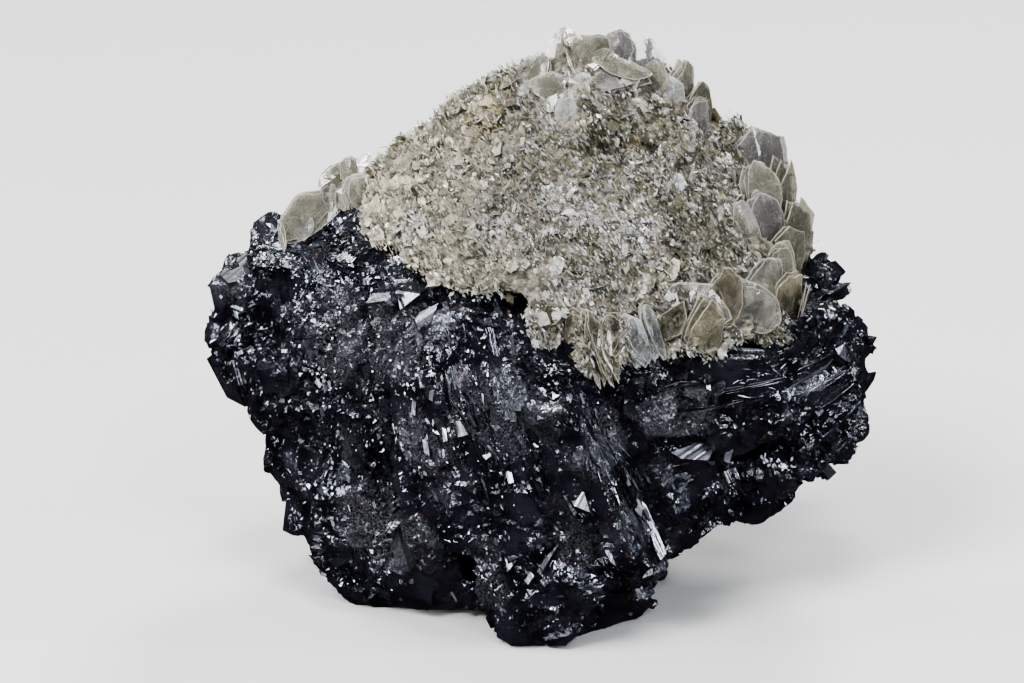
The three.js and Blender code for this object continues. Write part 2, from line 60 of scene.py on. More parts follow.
NEXT_FACTOR, NEXT_STEP = 6364136223846793005, 1442695040888963407  # from one random key to the next
KEY_BITS, DRAWN_BITS, LOW_BITS = 0xFFFFFFFFFFFF, 0xFFFFFF, 16

log = logging.getLogger("specimen")


class Seed(IntEnum):
    """Where the random numbers of each thing come from, so that every run gives the same."""

    LARGE_CHIPS = 3
    BED_GRAINS = 3
    BUNDLES = 5
    CHIPS = 7
    GROWTH = 11
    SMALL_CHIPS = 13
    FLAKE_BUNDLES = 17
    FLAKE_TONES = 19
    BODY = 21
    UNREST = 23
    BANDS = 24
    DRUSE_FACE = 31
    BODY_TONES = 31
    BRIGHT_FACES = 35
    DRUSE_SUGAR = 37
    DRUSE_REAR = 41
    RIBS = 51
    DRIFT = 61
    BED = 62
    FLAKES_FACE = 71
    FLAKES_REAR = 72
    FINES = 73
    LARGE_BOOKS = 81
    LEFT_BOOKS = 91


# --- Numbers over space --------------------------------------------------------------------------


def unit(vectors: Array) -> Array:
    """The same directions with length 1, for one vector or for one in each row."""
    vectors = np.asarray(vectors, float)
    return vectors / (np.linalg.norm(vectors, axis=-1, keepdims=True) + 1e-12)


def dot(a: Array, b: Array) -> Array:
    """The dot product of each row of a with the same row of b, as a column."""
    return (a * b).sum(-1, keepdims=True)


def square_to(axis: Array, hint: Array) -> Array:
    """The part of each hint that is square to its axis, a unit vector, with length 1."""
    return unit(hint - axis * dot(hint, axis))


def smooth_step(value: Array, low: float, high: float) -> Array:
    """0 below low, 1 above high, and a smooth rise between them."""
    t = np.clip((value - low) / (high - low), 0, 1)
    return t * t * (3 - 2 * t)


def cell_random(points: Array, size: float, seed: int) -> Array:
    """Random numbers that are the same all over each cell of a grid.

    Args:
        points: Places, one in each row.
        size: A cell's side.
        seed: Another seed gives other numbers.

    Returns:
        Three numbers from -1 to 1 for each place.
    """
    cell = np.floor(points / size).astype(np.int64)
    key = np.bitwise_xor.reduce(cell * CELL_KEYS, axis=1) ^ seed * SEED_KEY
    out = []
    for step in (1, 2, 3):
        key = (key * NEXT_FACTOR + NEXT_STEP * step) & KEY_BITS
        out.append(((key >> LOW_BITS) & DRAWN_BITS) / (DRAWN_BITS + 1) * 2 - 1)
    return np.stack(out, -1)


def placed(at: Union[Triple, list[Triple]]) -> Array:
    """One place, or several, measured from the middle of the crystals, in the frame's coordinates."""
    return np.array(at) + SHIFT


class Ripple:
    """A smooth random field over space: waves in random directions, at a few sizes."""

    WAVES = 6  # of each size

    def __init__(self, rng: np.random.Generator, size: float, sizes: int = 2) -> None:
        """Draws the waves.

        Args:
            rng: Where the waves come from.
            size: The length of the longest waves.
            sizes: How many sizes there are, each half as long as the one before.
        """
        shares = np.repeat(0.5 ** np.arange(sizes), self.WAVES)
        directions = unit(rng.normal(size=(len(shares), 3)))
        self.vectors = directions * (2 * math.pi / (size * shares))[:, None]
        self.phases = rng.uniform(0, 2 * math.pi, len(shares))
        self.shares = shares / math.sqrt((shares**2).sum() / 2)

    def __call__(self, points: Array) -> Array:
        """The field at the points, mostly between -1 and 1."""
        return np.sin(points @ self.vectors.T + self.phases) @ self.shares * 0.5


@dataclass(frozen=True)
class Chips:
    """A surface broken into chips: each cell of space leans and stands its own way."""

    size: float
    lean: float  # how far a chip's two sides differ in height
    step: float  # how far one chip stands out more than the next
    seed: int
    wander: ClassVar[float] = 0.45  # how far a chip's middle lies from its cell's, as a share of the size

    def height(self, points: Array) -> Array:
        """How far the surface stands out at the points, as a column.

        Args:
            points: Places on the surface.

        Returns:
            The heights, in millimetres.
        """
        scaled = points / self.size
        base = np.floor(scaled)
        nearest = np.full(len(points), np.inf)
        height = np.zeros(len(points))
        for offset in np.ndindex(3, 3, 3):
            cell = base + np.array(offset) - 1
            heart = cell + 0.5 + self.wander * cell_random(cell + 0.5, 1.0, self.seed)
            away = scaled - heart
            distance = (away**2).sum(1)
            slope = cell_random(cell + 0.5, 1.0, self.seed + 1)
            raised = (away * slope).sum(1) * self.lean + slope[:, 0] * self.step
            closer = distance < nearest
            nearest = np.where(closer, distance, nearest)
            height = np.where(closer, raised, height)
        return height[:, None]


@dataclass(frozen=True)
class Patch:
    """A round part of the specimen where something is more or less than elsewhere."""

    at: Triple
    radius: float
    amount: float = 1.0
    full: ClassVar[float] = 0.6  # the share of the radius that has the whole amount

    def share(self, points: Array) -> Array:
        """The amount at each point: the whole of it at the patch's middle, falling to 0 at its edge."""
        away = np.linalg.norm(points - placed(self.at), axis=-1)
        return self.amount * (1 - smooth_step(away, self.radius * self.full, self.radius))


def patches(*rows: tuple[float, ...]) -> tuple[Patch, ...]:
    """Patches from rows of a middle's x, y and z, a radius and, where it isn't 1, an amount."""
    return tuple(Patch(row[:3], *row[3:]) for row in rows)


def most(of: tuple[Patch, ...], points: Array) -> Array:
    """The largest share that any of the patches has of each point."""
    return np.max([patch.share(points) for patch in of], axis=0)


# --- Surfaces and meshes -------------------------------------------------------------------------


class Skin:
    """A surface, in millimetres, to look things up on and to scatter things over."""

    def __init__(self, points: Array, corners: Array) -> None:
        """Keeps the surface and works out its areas and normals.

        Args:
            points: Its corners.
            corners: Its triangles.
        """
        self.points = points
        self.corners = corners
        self.triangles = points[corners]
        a, b, c = (self.triangles[:, i] for i in range(3))
        across = np.cross(b - a, c - a)
        self.areas = np.linalg.norm(across, axis=1) / 2
        self.normals = unit(across)
        self.tree = BVHTree.FromPolygons(points.tolist(), corners.tolist())

    @classmethod
    def of_node(cls, node: str) -> "Skin":
        """The surface of a CAD node.

        Args:
            node: The node's name.

        Returns:
            Its surface, in millimetres.
        """
        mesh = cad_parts[node].data
        mesh.calc_loop_triangles()
        points = np.empty(len(mesh.vertices) * 3)
        mesh.vertices.foreach_get("co", points)
        corners = np.empty(len(mesh.loop_triangles) * 3, np.int32)
        mesh.loop_triangles.foreach_get("vertices", corners)
        return cls(points.reshape(-1, 3) / MM, corners.reshape(-1, 3))

    def scatter(
        self,
        rng: np.random.Generator,
        count: int,
        density: Callable[[Array, Array], Array],
        within: Optional[tuple[Array, float]] = None,
    ) -> tuple[Array, Array]:
        """Spreads points over the surface.

        Args:
            rng: Where the points come from.
            count: How many points to try, spread evenly by area.
            density: The chance from 0 to 1 that a point with its normal is kept.
            within: A middle and a radius, where only a round part of the surface is used.

        Returns:
            The points and their normals.
        """
        share = self.areas.copy()
        if within is not None:
            away = np.linalg.norm(self.triangles.mean(1) - within[0], axis=1)
            share[away > within[1]] = 0
        order = rng.choice(len(share), count, p=share / share.sum())
        u = np.sqrt(rng.random(count))[:, None]
        v = rng.random(count)[:, None]
        a, b, c = (self.triangles[order, i] for i in range(3))
        points = a * (1 - u) + b * (u * (1 - v)) + c * (u * v)
        normals = self.normals[order]
        kept = rng.random(count) < density(points, normals)
        return points[kept], normals[kept]

    def distance(self, points: Array, limit: float) -> Array:
        """How far each point is from the surface, up to a limit."""
        near = (self.tree.find_nearest(Vector(p), limit)[3] for p in points)
        return np.array([limit if d is None else d for d in near])

    def nearest(self, points: Array) -> tuple[Array, Array]:
        """The surface's nearest place to each point, and its normal there."""
        found = [self.tree.find_nearest(Vector(p)) for p in points]
        return np.array([f[0] for f in found]), np.array([f[1] for f in found])

    def seen(self, eye: Array, points: Array) -> Array:
        """What the eye sees of the surface where it looks at each point, or the point itself."""
        found = [self.tree.ray_cast(Vector(eye), Vector(p - eye))[0] for p in points]
        return np.array([p if f is None else f for f, p in zip(found, points)])


def above_floor(points: Array) -> Array:
    """Which solids stand clear of the floor, where points holds them by solid, corner and axis."""
    return points[:, :, 2].min(1) > CLEAR_OF_FLOOR


def thinned(points: Array, spacing: float, rng: np.random.Generator) -> Array:
    """Picks points so that few are close together.

    Args:
        points: Places, one in each row.
        spacing: The side of the grid cells that hold one point each.
        rng: Moves the grid to a random place.

    Returns:
        The numbers of the rows that stay.
    """
    shift = rng.random(3) * 10
    cells = np.floor((points + shift) / spacing).astype(np.int64)
    _, first = np.unique(cells, axis=0, return_index=True)
    return np.sort(first)


class Heap:
    """Many closed solids of a few forms, gathered into one mesh."""

    def __init__(self) -> None:
        """Starts with nothing in the heap."""
        self.points: list[Array] = []
        self.faces: list[Array] = []
        self.marks: dict[str, list[Array]] = {}
        self.filled = 0

    def add(self, points: Array, faces: Array, **marks: Array) -> None:
        """Adds solids that share one form.

        Args:
            points: The corners of each solid, by solid, corner and axis.
            faces: The triangles of the form, by corner.
            marks: Values of each solid, or of each of its corners, which its material reads.
        """
        solids, corners = points.shape[:2]
        if not solids:
            return
        starts = self.filled + np.arange(solids)[:, None, None] * corners
        self.points.append(points.reshape(-1, 3))
        self.faces.append((faces[None] + starts).reshape(-1, 3))
        for name, value in marks.items():
            if value.ndim < 3 and len(value) == solids:
                value = np.repeat(value, corners, axis=0)
            self.marks.setdefault(name, []).append(value.reshape(solids * corners, -1))
        self.filled += solids * corners

    def built(self, name: str, material: bpy.types.Material, smooth: float = 0.0) -> bpy.types.Object:
        """Makes the heap's object.

        Args:
            name: The object's name.
            material: Its finish.
            smooth: Edges lower than this many degrees are shaded round.

        Returns:
            The object, linked to the scene.
        """
        marks = {key: np.concatenate(value) for key, value in self.marks.items()}
        mesh = mesh_of(name, np.concatenate(self.points), np.concatenate(self.faces), marks)
        if smooth:
            mesh.shade_smooth()
            mesh.set_sharp_from_angle(angle=math.radians(smooth))
        return shown(mesh, material)


def mesh_of(name: str, points: Array, faces: Array, marks: dict[str, Array]) -> bpy.types.Mesh:
    """Makes a mesh of triangles.

    Args:
        name: The mesh's name.
        points: Its corners, in millimetres.
        faces: Its triangles.
        marks: One number, or three, at each corner, by name.

    Returns:
        The mesh, in metres, with flat faces.
    """
    mesh = bpy.data.meshes.new(name)
    mesh.vertices.add(len(points))
    mesh.vertices.foreach_set("co", (points * MM).astype(np.float32).ravel())
    mesh.loops.add(faces.size)
    mesh.loops.foreach_set("vertex_index", faces.astype(np.int32).ravel())
    mesh.polygons.add(len(faces))
    mesh.polygons.foreach_set("loop_start", np.arange(0, faces.size, 3, dtype=np.int32))
    mesh.update(calc_edges=True)
    mesh.shade_flat()
    for key, value in marks.items():
        value = value.reshape(len(points), -1)
        vector = value.shape[1] == 3
        mark = mesh.attributes.new(key, "FLOAT_VECTOR" if vector else "FLOAT", "POINT")
        mark.data.foreach_set("vector" if vector else "value", value.astype(np.float32).ravel())
    return mesh


def shown(mesh: bpy.types.Mesh, material: bpy.types.Material) -> bpy.types.Object:
    """Puts a mesh in the scene.

    Args:
        mesh: The mesh.
        material: Its finish.

    Returns:
        The object, which has the mesh's name.
    """
    piece = bpy.data.objects.new(mesh.name, mesh)
    bpy.context.scene.collection.objects.link(piece)
    mesh.materials.append(material)
    return piece


def remeshed(skin: Skin, size: float) -> tuple[Array, Array, Array]:
    """Covers a node's surface with small even triangles.

    Args:
        skin: The surface.
        size: The length of their short sides.

    Returns:
        The corners, their normals, and the triangles.
    """
    mesh = mesh_of("remeshed", skin.points, skin.corners, {})
    work = bpy.data.objects.new("remeshed", mesh)
    bpy.context.scene.collection.objects.link(work)
    cover = work.modifiers.new("cover", "REMESH")
    cover.mode = "VOXEL"
    cover.voxel_size = size * MM
    work.modifiers.new("halve", "TRIANGULATE").quad_method = "SHORTEST_DIAGONAL"
    even = work.evaluated_get(bpy.context.evaluated_depsgraph_get()).to_mesh()
    count = len(even.vertices)
    points, normals = np.empty(count * 3), np.empty(count * 3)
    even.vertices.foreach_get("co", points)
    even.vertex_normals.foreach_get("vector", normals)
    corners = np.empty(len(even.loops), np.int32)
    even.loops.foreach_get("vertex_index", corners)
    bpy.data.objects.remove(work)
    bpy.data.meshes.remove(mesh)
    return points.reshape(-1, 3) / MM, normals.reshape(-1, 3), corners.reshape(-1, 3)


def halved(rows: Array, faces: Array, wanted: Array) -> tuple[Array, Array]:
    """Splits every side of some triangles in two, and joins their neighbours to the new corners.

    Args:
        rows: Each corner's place, and anything else that a new corner takes the mean of.
        faces: The triangles.
        wanted: Which of them to split.

    Returns:
        The corners and the triangles.
    """
    sides = np.sort(faces[:, [[0, 1], [1, 2], [2, 0]]], -1).reshape(-1, 2)
    own, back = np.unique(sides, axis=0, return_inverse=True)
    back = back.reshape(-1, 3)
    split = np.zeros(len(own), bool)
    split[back[wanted]] = True
    middle = np.full(len(own), -1)
    middle[split] = len(rows) + np.arange(split.sum())
    rows = np.concatenate([rows, rows[own[split]].mean(1)])
    new = middle[back]
    count = (new >= 0).sum(1)
    out = [faces[count == 0]]
    for many in (1, 2, 3):
        mine = count == many
        lead = (new[mine] < 0).argmax(1) + 1 if many == 2 else (new[mine] >= 0).argmax(1)
        turn = (lead[:, None] + np.arange(3)) % 3
        a, b, c = np.take_along_axis(faces[mine], turn, 1).T
        x, y, z = np.take_along_axis(new[mine], turn, 1).T
        parts = {
            1: ((a, x, c), (x, b, c)),
            2: ((x, b, y), (a, x, y), (a, y, c)),
            3: ((a, x, z), (x, b, y), (z, y, c), (x, y, z)),
        }[many]
        out += [np.stack(part, 1) for part in parts]
    return rows, np.concatenate(out)


# --- Shader maths --------------------------------------------------------------------------------

Feed = Union[float, tuple, "Value"]


class Graph:
    """The nodes of one material, with one method that adds any node."""

    def __init__(self, name: str) -> None:
        """Starts an empty material.

        Args:
            name: The material's name.
        """
        self.material = bpy.data.materials.new(name)
        self.material.use_nodes = True
        self.tree = self.material.node_tree
        self.tree.nodes.clear()

    def add(
        self,
        kind: str,
        settings: Optional[dict[str, object]] = None,
        inputs: Optional[dict[Union[str, int], Feed]] = None,
    ) -> bpy.types.Node:
        """Adds a node.

        Args:
            kind: The node's type.
            settings: What is set on the node first.
            inputs: The value or the link of each socket, by name or number.

        Returns:
            The node.
        """
        node = self.tree.nodes.new(kind)
        for key, setting in (settings or {}).items():
            setattr(node, key, setting)
        for key, feed in (inputs or {}).items():
            if isinstance(feed, Value):
                self.tree.links.new(feed.socket, node.inputs[key])
            else:
                node.inputs[key].default_value = feed
        return node

    def value(self, node: bpy.types.Node, output: Union[str, int] = 0) -> "Value":
        """A node's output, to calculate with."""
        return Value(self, node.outputs[output])

    def place(self) -> "Value":
        """The place on the specimen, in millimetres."""
        return self.scaled(self.value(self.add("ShaderNodeTexCoord"), "Object"), 1 / MM)

    def noise(self, place: "Value", size: float, detail: float = 2.0, roughness: float = 0.5) -> "Value":
        """Noise from about 0 to 1, whose lumps have that size in millimetres."""
        inputs = {"Vector": place, "Scale": 1 / size, "Detail": detail, "Roughness": roughness}
        return self.value(self.add("ShaderNodeTexNoise", {}, inputs), "Fac")

    def cells(self, place: "Value", size: float) -> "Value":
        """A random colour for each small cell, of a size in millimetres."""
        voronoi = self.add("ShaderNodeTexVoronoi", {}, {"Vector": place, "Scale": 1 / size})
        return self.value(voronoi, "Color")

    def mark(self, name: str, output: str = "Fac") -> "Value":
        """A value that the mesh holds at its corners."""
        return self.value(self.add("ShaderNodeAttribute", {"attribute_name": name}), output)

    def mix(self, share: Feed, low: Feed, high: Feed) -> "Value":
        """A colour between two colours."""
        inputs = {0: share, 6: low, 7: high}
        return self.value(self.add("ShaderNodeMix", {"data_type": "RGBA"}, inputs), 2)

    def vector(self, operation: str, a: Feed, b: Feed = (0, 0, 0)) -> "Value":
        """One step of vector maths."""
        return self.value(self.add("ShaderNodeVectorMath", {"operation": operation}, {0: a, 1: b}))

    def scaled(self, vector: Feed, by: Feed) -> "Value":
        """A vector times a number."""
        node = self.add("ShaderNodeVectorMath", {"operation": "SCALE"}, {0: vector, "Scale": by})
        return self.value(node)

    def bump(self, height: "Value", far: float, strength: float, normal: "Value") -> "Value":
        """A normal that leans with a height from 0 to 1, which stands for that many millimetres."""
        inputs = {"Height": height, "Distance": far * MM, "Strength": strength, "Normal": normal}
        return self.value(self.add("ShaderNodeBump", {}, inputs))

    def step(self, value: "Value", low: float, high: float, out: Pair = (0, 1)) -> "Value":
        """A smooth rise between two values."""
        inputs = {"Value": value, "From Min": low, "From Max": high, "To Min": out[0], "To Max": out[1]}
        return self.value(self.add("ShaderNodeMapRange", {"interpolation_type": "SMOOTHSTEP"}, inputs))

    def tilted(self, place: "Value", size: float, by: Feed) -> "Value":
        """The surface's normal, leaning another way in each small cell.

        Args:
            place: The place on the specimen.
            size: A cell's size.
            by: How far the normal leans.

        Returns:
            The normal.
        """
        lean = self.vector("SUBTRACT", self.cells(place, size), (0.5, 0.5, 0.5))
        normal = self.value(self.add("ShaderNodeNewGeometry"), "Normal")
        return self.vector("NORMALIZE", self.vector("ADD", normal, self.scaled(lean, by)))

    def principled(
        self, colour: Feed, rough: Feed, normal: Optional["Value"] = None, **more: Feed
    ) -> "Value":
        """A Principled shader.

        Args:
            colour: Its base colour.
            rough: Its roughness.
            normal: Its normal, where it isn't the mesh's.
            more: Its other inputs, with an underscore for each space.

        Returns:
            The shader.
        """
        inputs = {"Base Color": colour, "Roughness": rough}
        inputs |= {key.replace("_", " "): feed for key, feed in more.items()}
        if normal is not None:
            inputs["Normal"] = normal
        return self.value(self.add("ShaderNodeBsdfPrincipled", {}, inputs))

    def blended(self, share: Feed, low: "Value", high: "Value") -> "Value":
        """A mix of two shaders."""
        return self.value(self.add("ShaderNodeMixShader", {}, {0: share, 1: low, 2: high}))

    def surface(self, shader: "Value") -> bpy.types.Material:
        """Ends the graph in a shader, and gives the material."""
        self.add("ShaderNodeOutputMaterial", {}, {"Surface": shader})
        return self.material


class Value:
    """A socket's value, with operators that add Math nodes."""

    def __init__(self, graph: Graph, socket: bpy.types.NodeSocket) -> None:
        """Wraps the socket."""
        self.graph = graph
        self.socket = socket

    def _math(self, operation: str, a: Feed, b: Feed = 0.0, clamp: bool = False) -> "Value":
        """The value of one Math node."""
        settings = {"operation": operation, "use_clamp": clamp}
        return self.graph.value(self.graph.add("ShaderNodeMath", settings, {0: a, 1: b}))

    def __add__(self, other: Feed) -> "Value":
        """The sum."""
        return self._math("ADD", self, other)

    __radd__ = __add__

    def __sub__(self, other: Feed) -> "Value":
        """The difference."""
        return self._math("SUBTRACT", self, other)

    def __rsub__(self, other: Feed) -> "Value":
        """The difference from a number."""
        return self._math("SUBTRACT", other, self)

    def __mul__(self, other: Feed) -> "Value":
        """The product."""
        return self._math("MULTIPLY", self, other)

    __rmul__ = __mul__

    def clamped(self) -> "Value":
        """The value kept between 0 and 1."""
        return self._math("ADD", self, 0.0, clamp=True)


# --- Finishes ------------------------------------------------------------------------------------

Colour = tuple[float, float, float, float]


@dataclass(frozen=True)
class Finish:
    """A finish, which turns itself into a material."""

    name: str

    def shader(self, graph: Graph) -> Value:
        """The finish's shader, made of nodes of the graph."""
        raise NotImplementedError

    def made(self) -> bpy.types.Material:
        """Makes the material."""
        graph = Graph(self.name)
        return graph.surface(self.shader(graph))


@dataclass(frozen=True)
class Cassiterite(Finish):
    """Black tin-stone: glassy crystal faces, some etched, with rust-brown specks in patches."""

    name: str = "cassiterite"
    black: Colour = (0.002, 0.002, 0.0035, 1)
    smoke: Colour = (0.011, 0.01, 0.016, 1)
    etched: Colour = (0.1, 0.1, 0.112, 1)
    rust: Colour = (0.07, 0.03, 0.016, 1)
    tint: Colour = (0.86, 0.9, 1.0, 1)
    ior: float = 1.9
    polish: float = 0.06  # the roughness of a clean face
    grain: float = 0.15  # the size of the grains that lean their own way
    striae: float = 0.13  # how far apart the fine growth lines are
    drawn: float = 0.94  # how far the lines are drawn out along a crystal: 1 is without end

    def shader(self, graph: Graph) -> Value:
        """Black glass that is etched where the mesh says "dull", and in patches of its own.

        Args:
            graph: Where the nodes go. The mesh's "facet" makes a face rougher, and "along" is the way of
                its growth lines.

        Returns:
            The shader.
        """
        place = graph.place()
        dull, facet = graph.mark("dull"), graph.mark("facet")
        fine = graph.noise(place, 0.35, 2)
        cloud = graph.step(graph.noise(place, 2.6, 3), 0.35, 0.7)
        crumbs = graph.step(graph.noise(place, 0.17, 3, 0.7), 0.4, 0.64)
        frost = graph.step(graph.noise(place, 3.0, 3), 0.5, 0.68)
        specks = graph.step(graph.noise(place, 2.3, 4, 0.7), 0.62, 0.7) * graph.step(fine, 0.45, 0.6)
        colour = graph.mix(cloud, self.black, self.smoke)
        colour = graph.mix(((dull + frost * 0.22) * crumbs).clamped(), colour, self.etched)
        colour = graph.mix(specks * 0.7, colour, self.rust)
        etched = frost * 0.7 + dull
        rough = self.polish + facet * 0.12 + etched * 0.2 + specks * 0.3 + (fine - 0.5) * 0.08
        along = graph.mark("along", "Vector")
        length = graph.add("ShaderNodeVectorMath", {"operation": "DOT_PRODUCT"}, {0: place, 1: along})
        back = graph.scaled(along, graph.value(length, "Value") * self.drawn)
        lines = graph.noise(graph.vector("SUBTRACT", place, back), self.striae, 1)
        leaning = graph.tilted(place, self.grain, 0.06 + etched * 0.34)
        normal = graph.bump(lines, 0.04, 0.5, leaning)
        return graph.principled(colour, rough.clamped(), normal, IOR=self.ior, Specular_Tint=self.tint)


@dataclass(frozen=True)
class MicaFlake(Finish):
    """Small mica flakes: pearly, let through some light, each with a colour of its own."""

    name: str = "mica_flake"
    through: float = 0.42  # how much light passes
    ior: float = 1.62

    def shader(self, graph: Graph) -> Value:
        """The mesh's "hue" with stains and silky streaks.

        Args:
            graph: Where the nodes go.

        Returns:
            The shader.
        """
        place = graph.place()
        stain = graph.step(graph.noise(place, 0.6, 3), 0.3, 0.75, (0.74, 1.12))
        silk = graph.step(graph.noise(place, 0.13, 2, 0.7), 0.3, 0.7, (0.78, 1.12))
        colour = graph.scaled(graph.mark("hue", "Vector"), stain * silk)
        rough = graph.step(graph.noise(place, 0.8, 2), 0.3, 0.7, (0.1, 0.34))
        leaning = graph.tilted(place, 0.2, 0.2)
        return graph.principled(colour, rough, leaning, IOR=self.ior, Transmission_Weight=self.through)


@dataclass(frozen=True)
class MicaSheet(Finish):
    """The sheets of large mica books: clear, with milky veils, hair lines and pale edges."""

    name: str = "mica_sheet"
    pale: Colour = (0.76, 0.74, 0.66, 1)
    wash: float = 0.0  # how much paler light becomes in passing than the sheet's own colour
    milk: float = 0.03  # how milky a sheet is all over
    veils: float = 0.14  # how milky its veils are
    ior: float = 1.6
    clear_rough: float = 0.05
    milky_rough: float = 0.28
    milky_through: float = 0.25  # how much light passes where the sheet is milky

    def shader(self, graph: Graph) -> Value:
        """Clear glass of the mesh's "hue", milky in its veils, its hair lines and at its "rim".

        Args:
            graph: Where the nodes go.

        Returns:
            The shader.
        """
        place = graph.place()
        rim = graph.mark("rim")
        tone = graph.step(graph.noise(place, 1.9, 3), 0.32, 0.68, (0.72, 1.12))
        hue = graph.scaled(graph.mark("hue", "Vector"), tone)
        clouds = graph.step(graph.noise(place, 1.3, 4, 0.6), 0.5, 0.72)
        upright = graph.vector("MULTIPLY", place, (1, 1, 0.22))
        streaks = graph.step(graph.noise(upright, 0.45, 3, 0.6), 0.5, 0.72)
        level = graph.noise(place, 1.1, 2) - 0.5
        hairs = graph.step(level * level, 0.0, 0.0005, (1.0, 0.0))
        veil = clouds * 0.6 + streaks * 0.6
        share = (self.milk + veil * self.veils + hairs * 0.16 + rim * 0.4).clamped()
        normal = graph.bump(graph.noise(place, 0.6, 2), 0.03, 0.3, graph.tilted(place, 0.9, 0.05))
        washed = graph.mix(self.wash, hue, self.pale)
        clear = graph.principled(washed, self.clear_rough, normal, IOR=self.ior, Transmission_Weight=1.0)
        paler = graph.mix((0.08 + rim * 0.5).clamped(), hue, self.pale)
        milky = graph.principled(
            paler, self.milky_rough, normal, IOR=self.ior, Transmission_Weight=self.milky_through
        )
        return graph.blended(share, clear, milky)


@dataclass(frozen=True)
class MicaBed(Finish):
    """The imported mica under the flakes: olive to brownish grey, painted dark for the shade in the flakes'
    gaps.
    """

    name: str = "mica_bed"
    # the dark end is partly the crust's own olive and partly painted shade, so the gaps between flakes read
    # dark
    dark_and_painted_shade: Colour = (0.035, 0.031, 0.022, 1)
    light: Colour = (0.22, 0.2, 0.145, 1)
    rough: float = 0.45

    def shader(self, graph: Graph) -> Value:
        """Two tones in patches, with a crumbly sheen.

        Args:
            graph: Where the nodes go.

        Returns:
            The shader.
        """
        place = graph.place()
        colour = graph.mix(graph.step(graph.noise(place, 0.9, 4, 0.7), 0.38, 0.7), self.dark_and_painted_shade, self.light)
        return graph.principled(colour, self.rough, graph.tilted(place, 0.22, 0.5))


@dataclass(frozen=True)
class PlainCard(Finish):
    """The plain pale card that the specimen stands on."""

    name: str = "pale_card"
    colour: Colour = (0.62, 0.62, 0.61, 1)
    rough: float = 0.6

    def shader(self, graph: Graph) -> Value:
        """One colour all over."""
        return graph.principled(self.colour, self.rough)


# --- The studio ----------------------------------------------------------------------------------


class Lamp(Enum):
    """The lamps, by the names of their objects."""

    KEY = "key"
    FILL = "fill"
    LOW_LEFT = "low_left"
    LOW_RIGHT = "low_right"
    TOP = "top"
    RIM = "rim"
    REAR = "rear"
    STRIP_LEFT = "strip_left"
    STRIP_RIGHT = "strip_right"
    PANEL = "panel"
    LOW_SIDE = "low_side"
    SKY = "sky"


@dataclass(frozen=True)
class Softbox:
    """A soft lamp that faces the specimen."""

    azimuth: float  # degrees to the right of the specimen's face
    elevation: float
    distance: float  # in metres, as the sizes are
    size: Pair
    power: float
    colour: Triple = (1, 1, 1)


LAMPS = {
    Lamp.KEY: Softbox(-38, 46, 0.7, (0.24, 0.22), 6.2),
    Lamp.FILL: Softbox(26, 42, 0.8, (0.18, 0.18), 2.6, (0.94, 0.96, 1)),
    Lamp.LOW_LEFT: Softbox(-30, 14, 0.8, (0.16, 0.16), 1.0, (0.96, 0.97, 1)),
    Lamp.LOW_RIGHT: Softbox(28, 12, 0.8, (0.14, 0.14), 0.9, (0.94, 0.96, 1)),
    Lamp.TOP: Softbox(6, 78, 0.8, (0.22, 0.2), 3.6),
    Lamp.RIM: Softbox(160, 42, 0.8, (0.26, 0.22), 4.4),
    Lamp.REAR: Softbox(-140, 32, 0.8, (0.2, 0.16), 2.2),
    Lamp.STRIP_LEFT: Softbox(-80, 20, 0.6, (0.08, 0.3), 1.6, (0.92, 0.94, 1)),
    Lamp.STRIP_RIGHT: Softbox(84, 24, 0.6, (0.08, 0.3), 1.4, (0.92, 0.94, 1)),
    # large and dim, for the grey sheen of the black faces
    Lamp.PANEL: Softbox(-60, 36, 1.1, (1.0, 0.8), 2.9, (0.9, 0.94, 1)),
    Lamp.LOW_SIDE: Softbox(57, 8, 0.8, (0.36, 0.14), 0.5, (0.8, 0.87, 1)),
    Lamp.SKY: Softbox(0, 86, 1.3, (1.3, 1.3), 2.2, (0.94, 0.96, 1)),
}


def bearing(azimuth: float, elevation: float) -> Array:
    """The direction that is so many degrees to the right of the specimen's face and above the floor."""
    turn, tilt = math.radians(azimuth), math.radians(elevation)
    return np.array([math.sin(turn) * math.cos(tilt), -math.cos(turn) * math.cos(tilt), math.sin(tilt)])


def looking_at(aim: Array, towards: Array) -> Matrix:
    """The pose of a thing that looks at a point.

    Args:
        aim: The point, in millimetres.
        towards: Where the thing stands, in millimetres.

    Returns:
        The pose, in metres, with -Z towards the point and +Y up.
    """
    pose = Vector(towards - aim).to_track_quat("Z", "Y").to_matrix().to_4x4()
    pose.translation = Vector(towards * MM)
    return pose


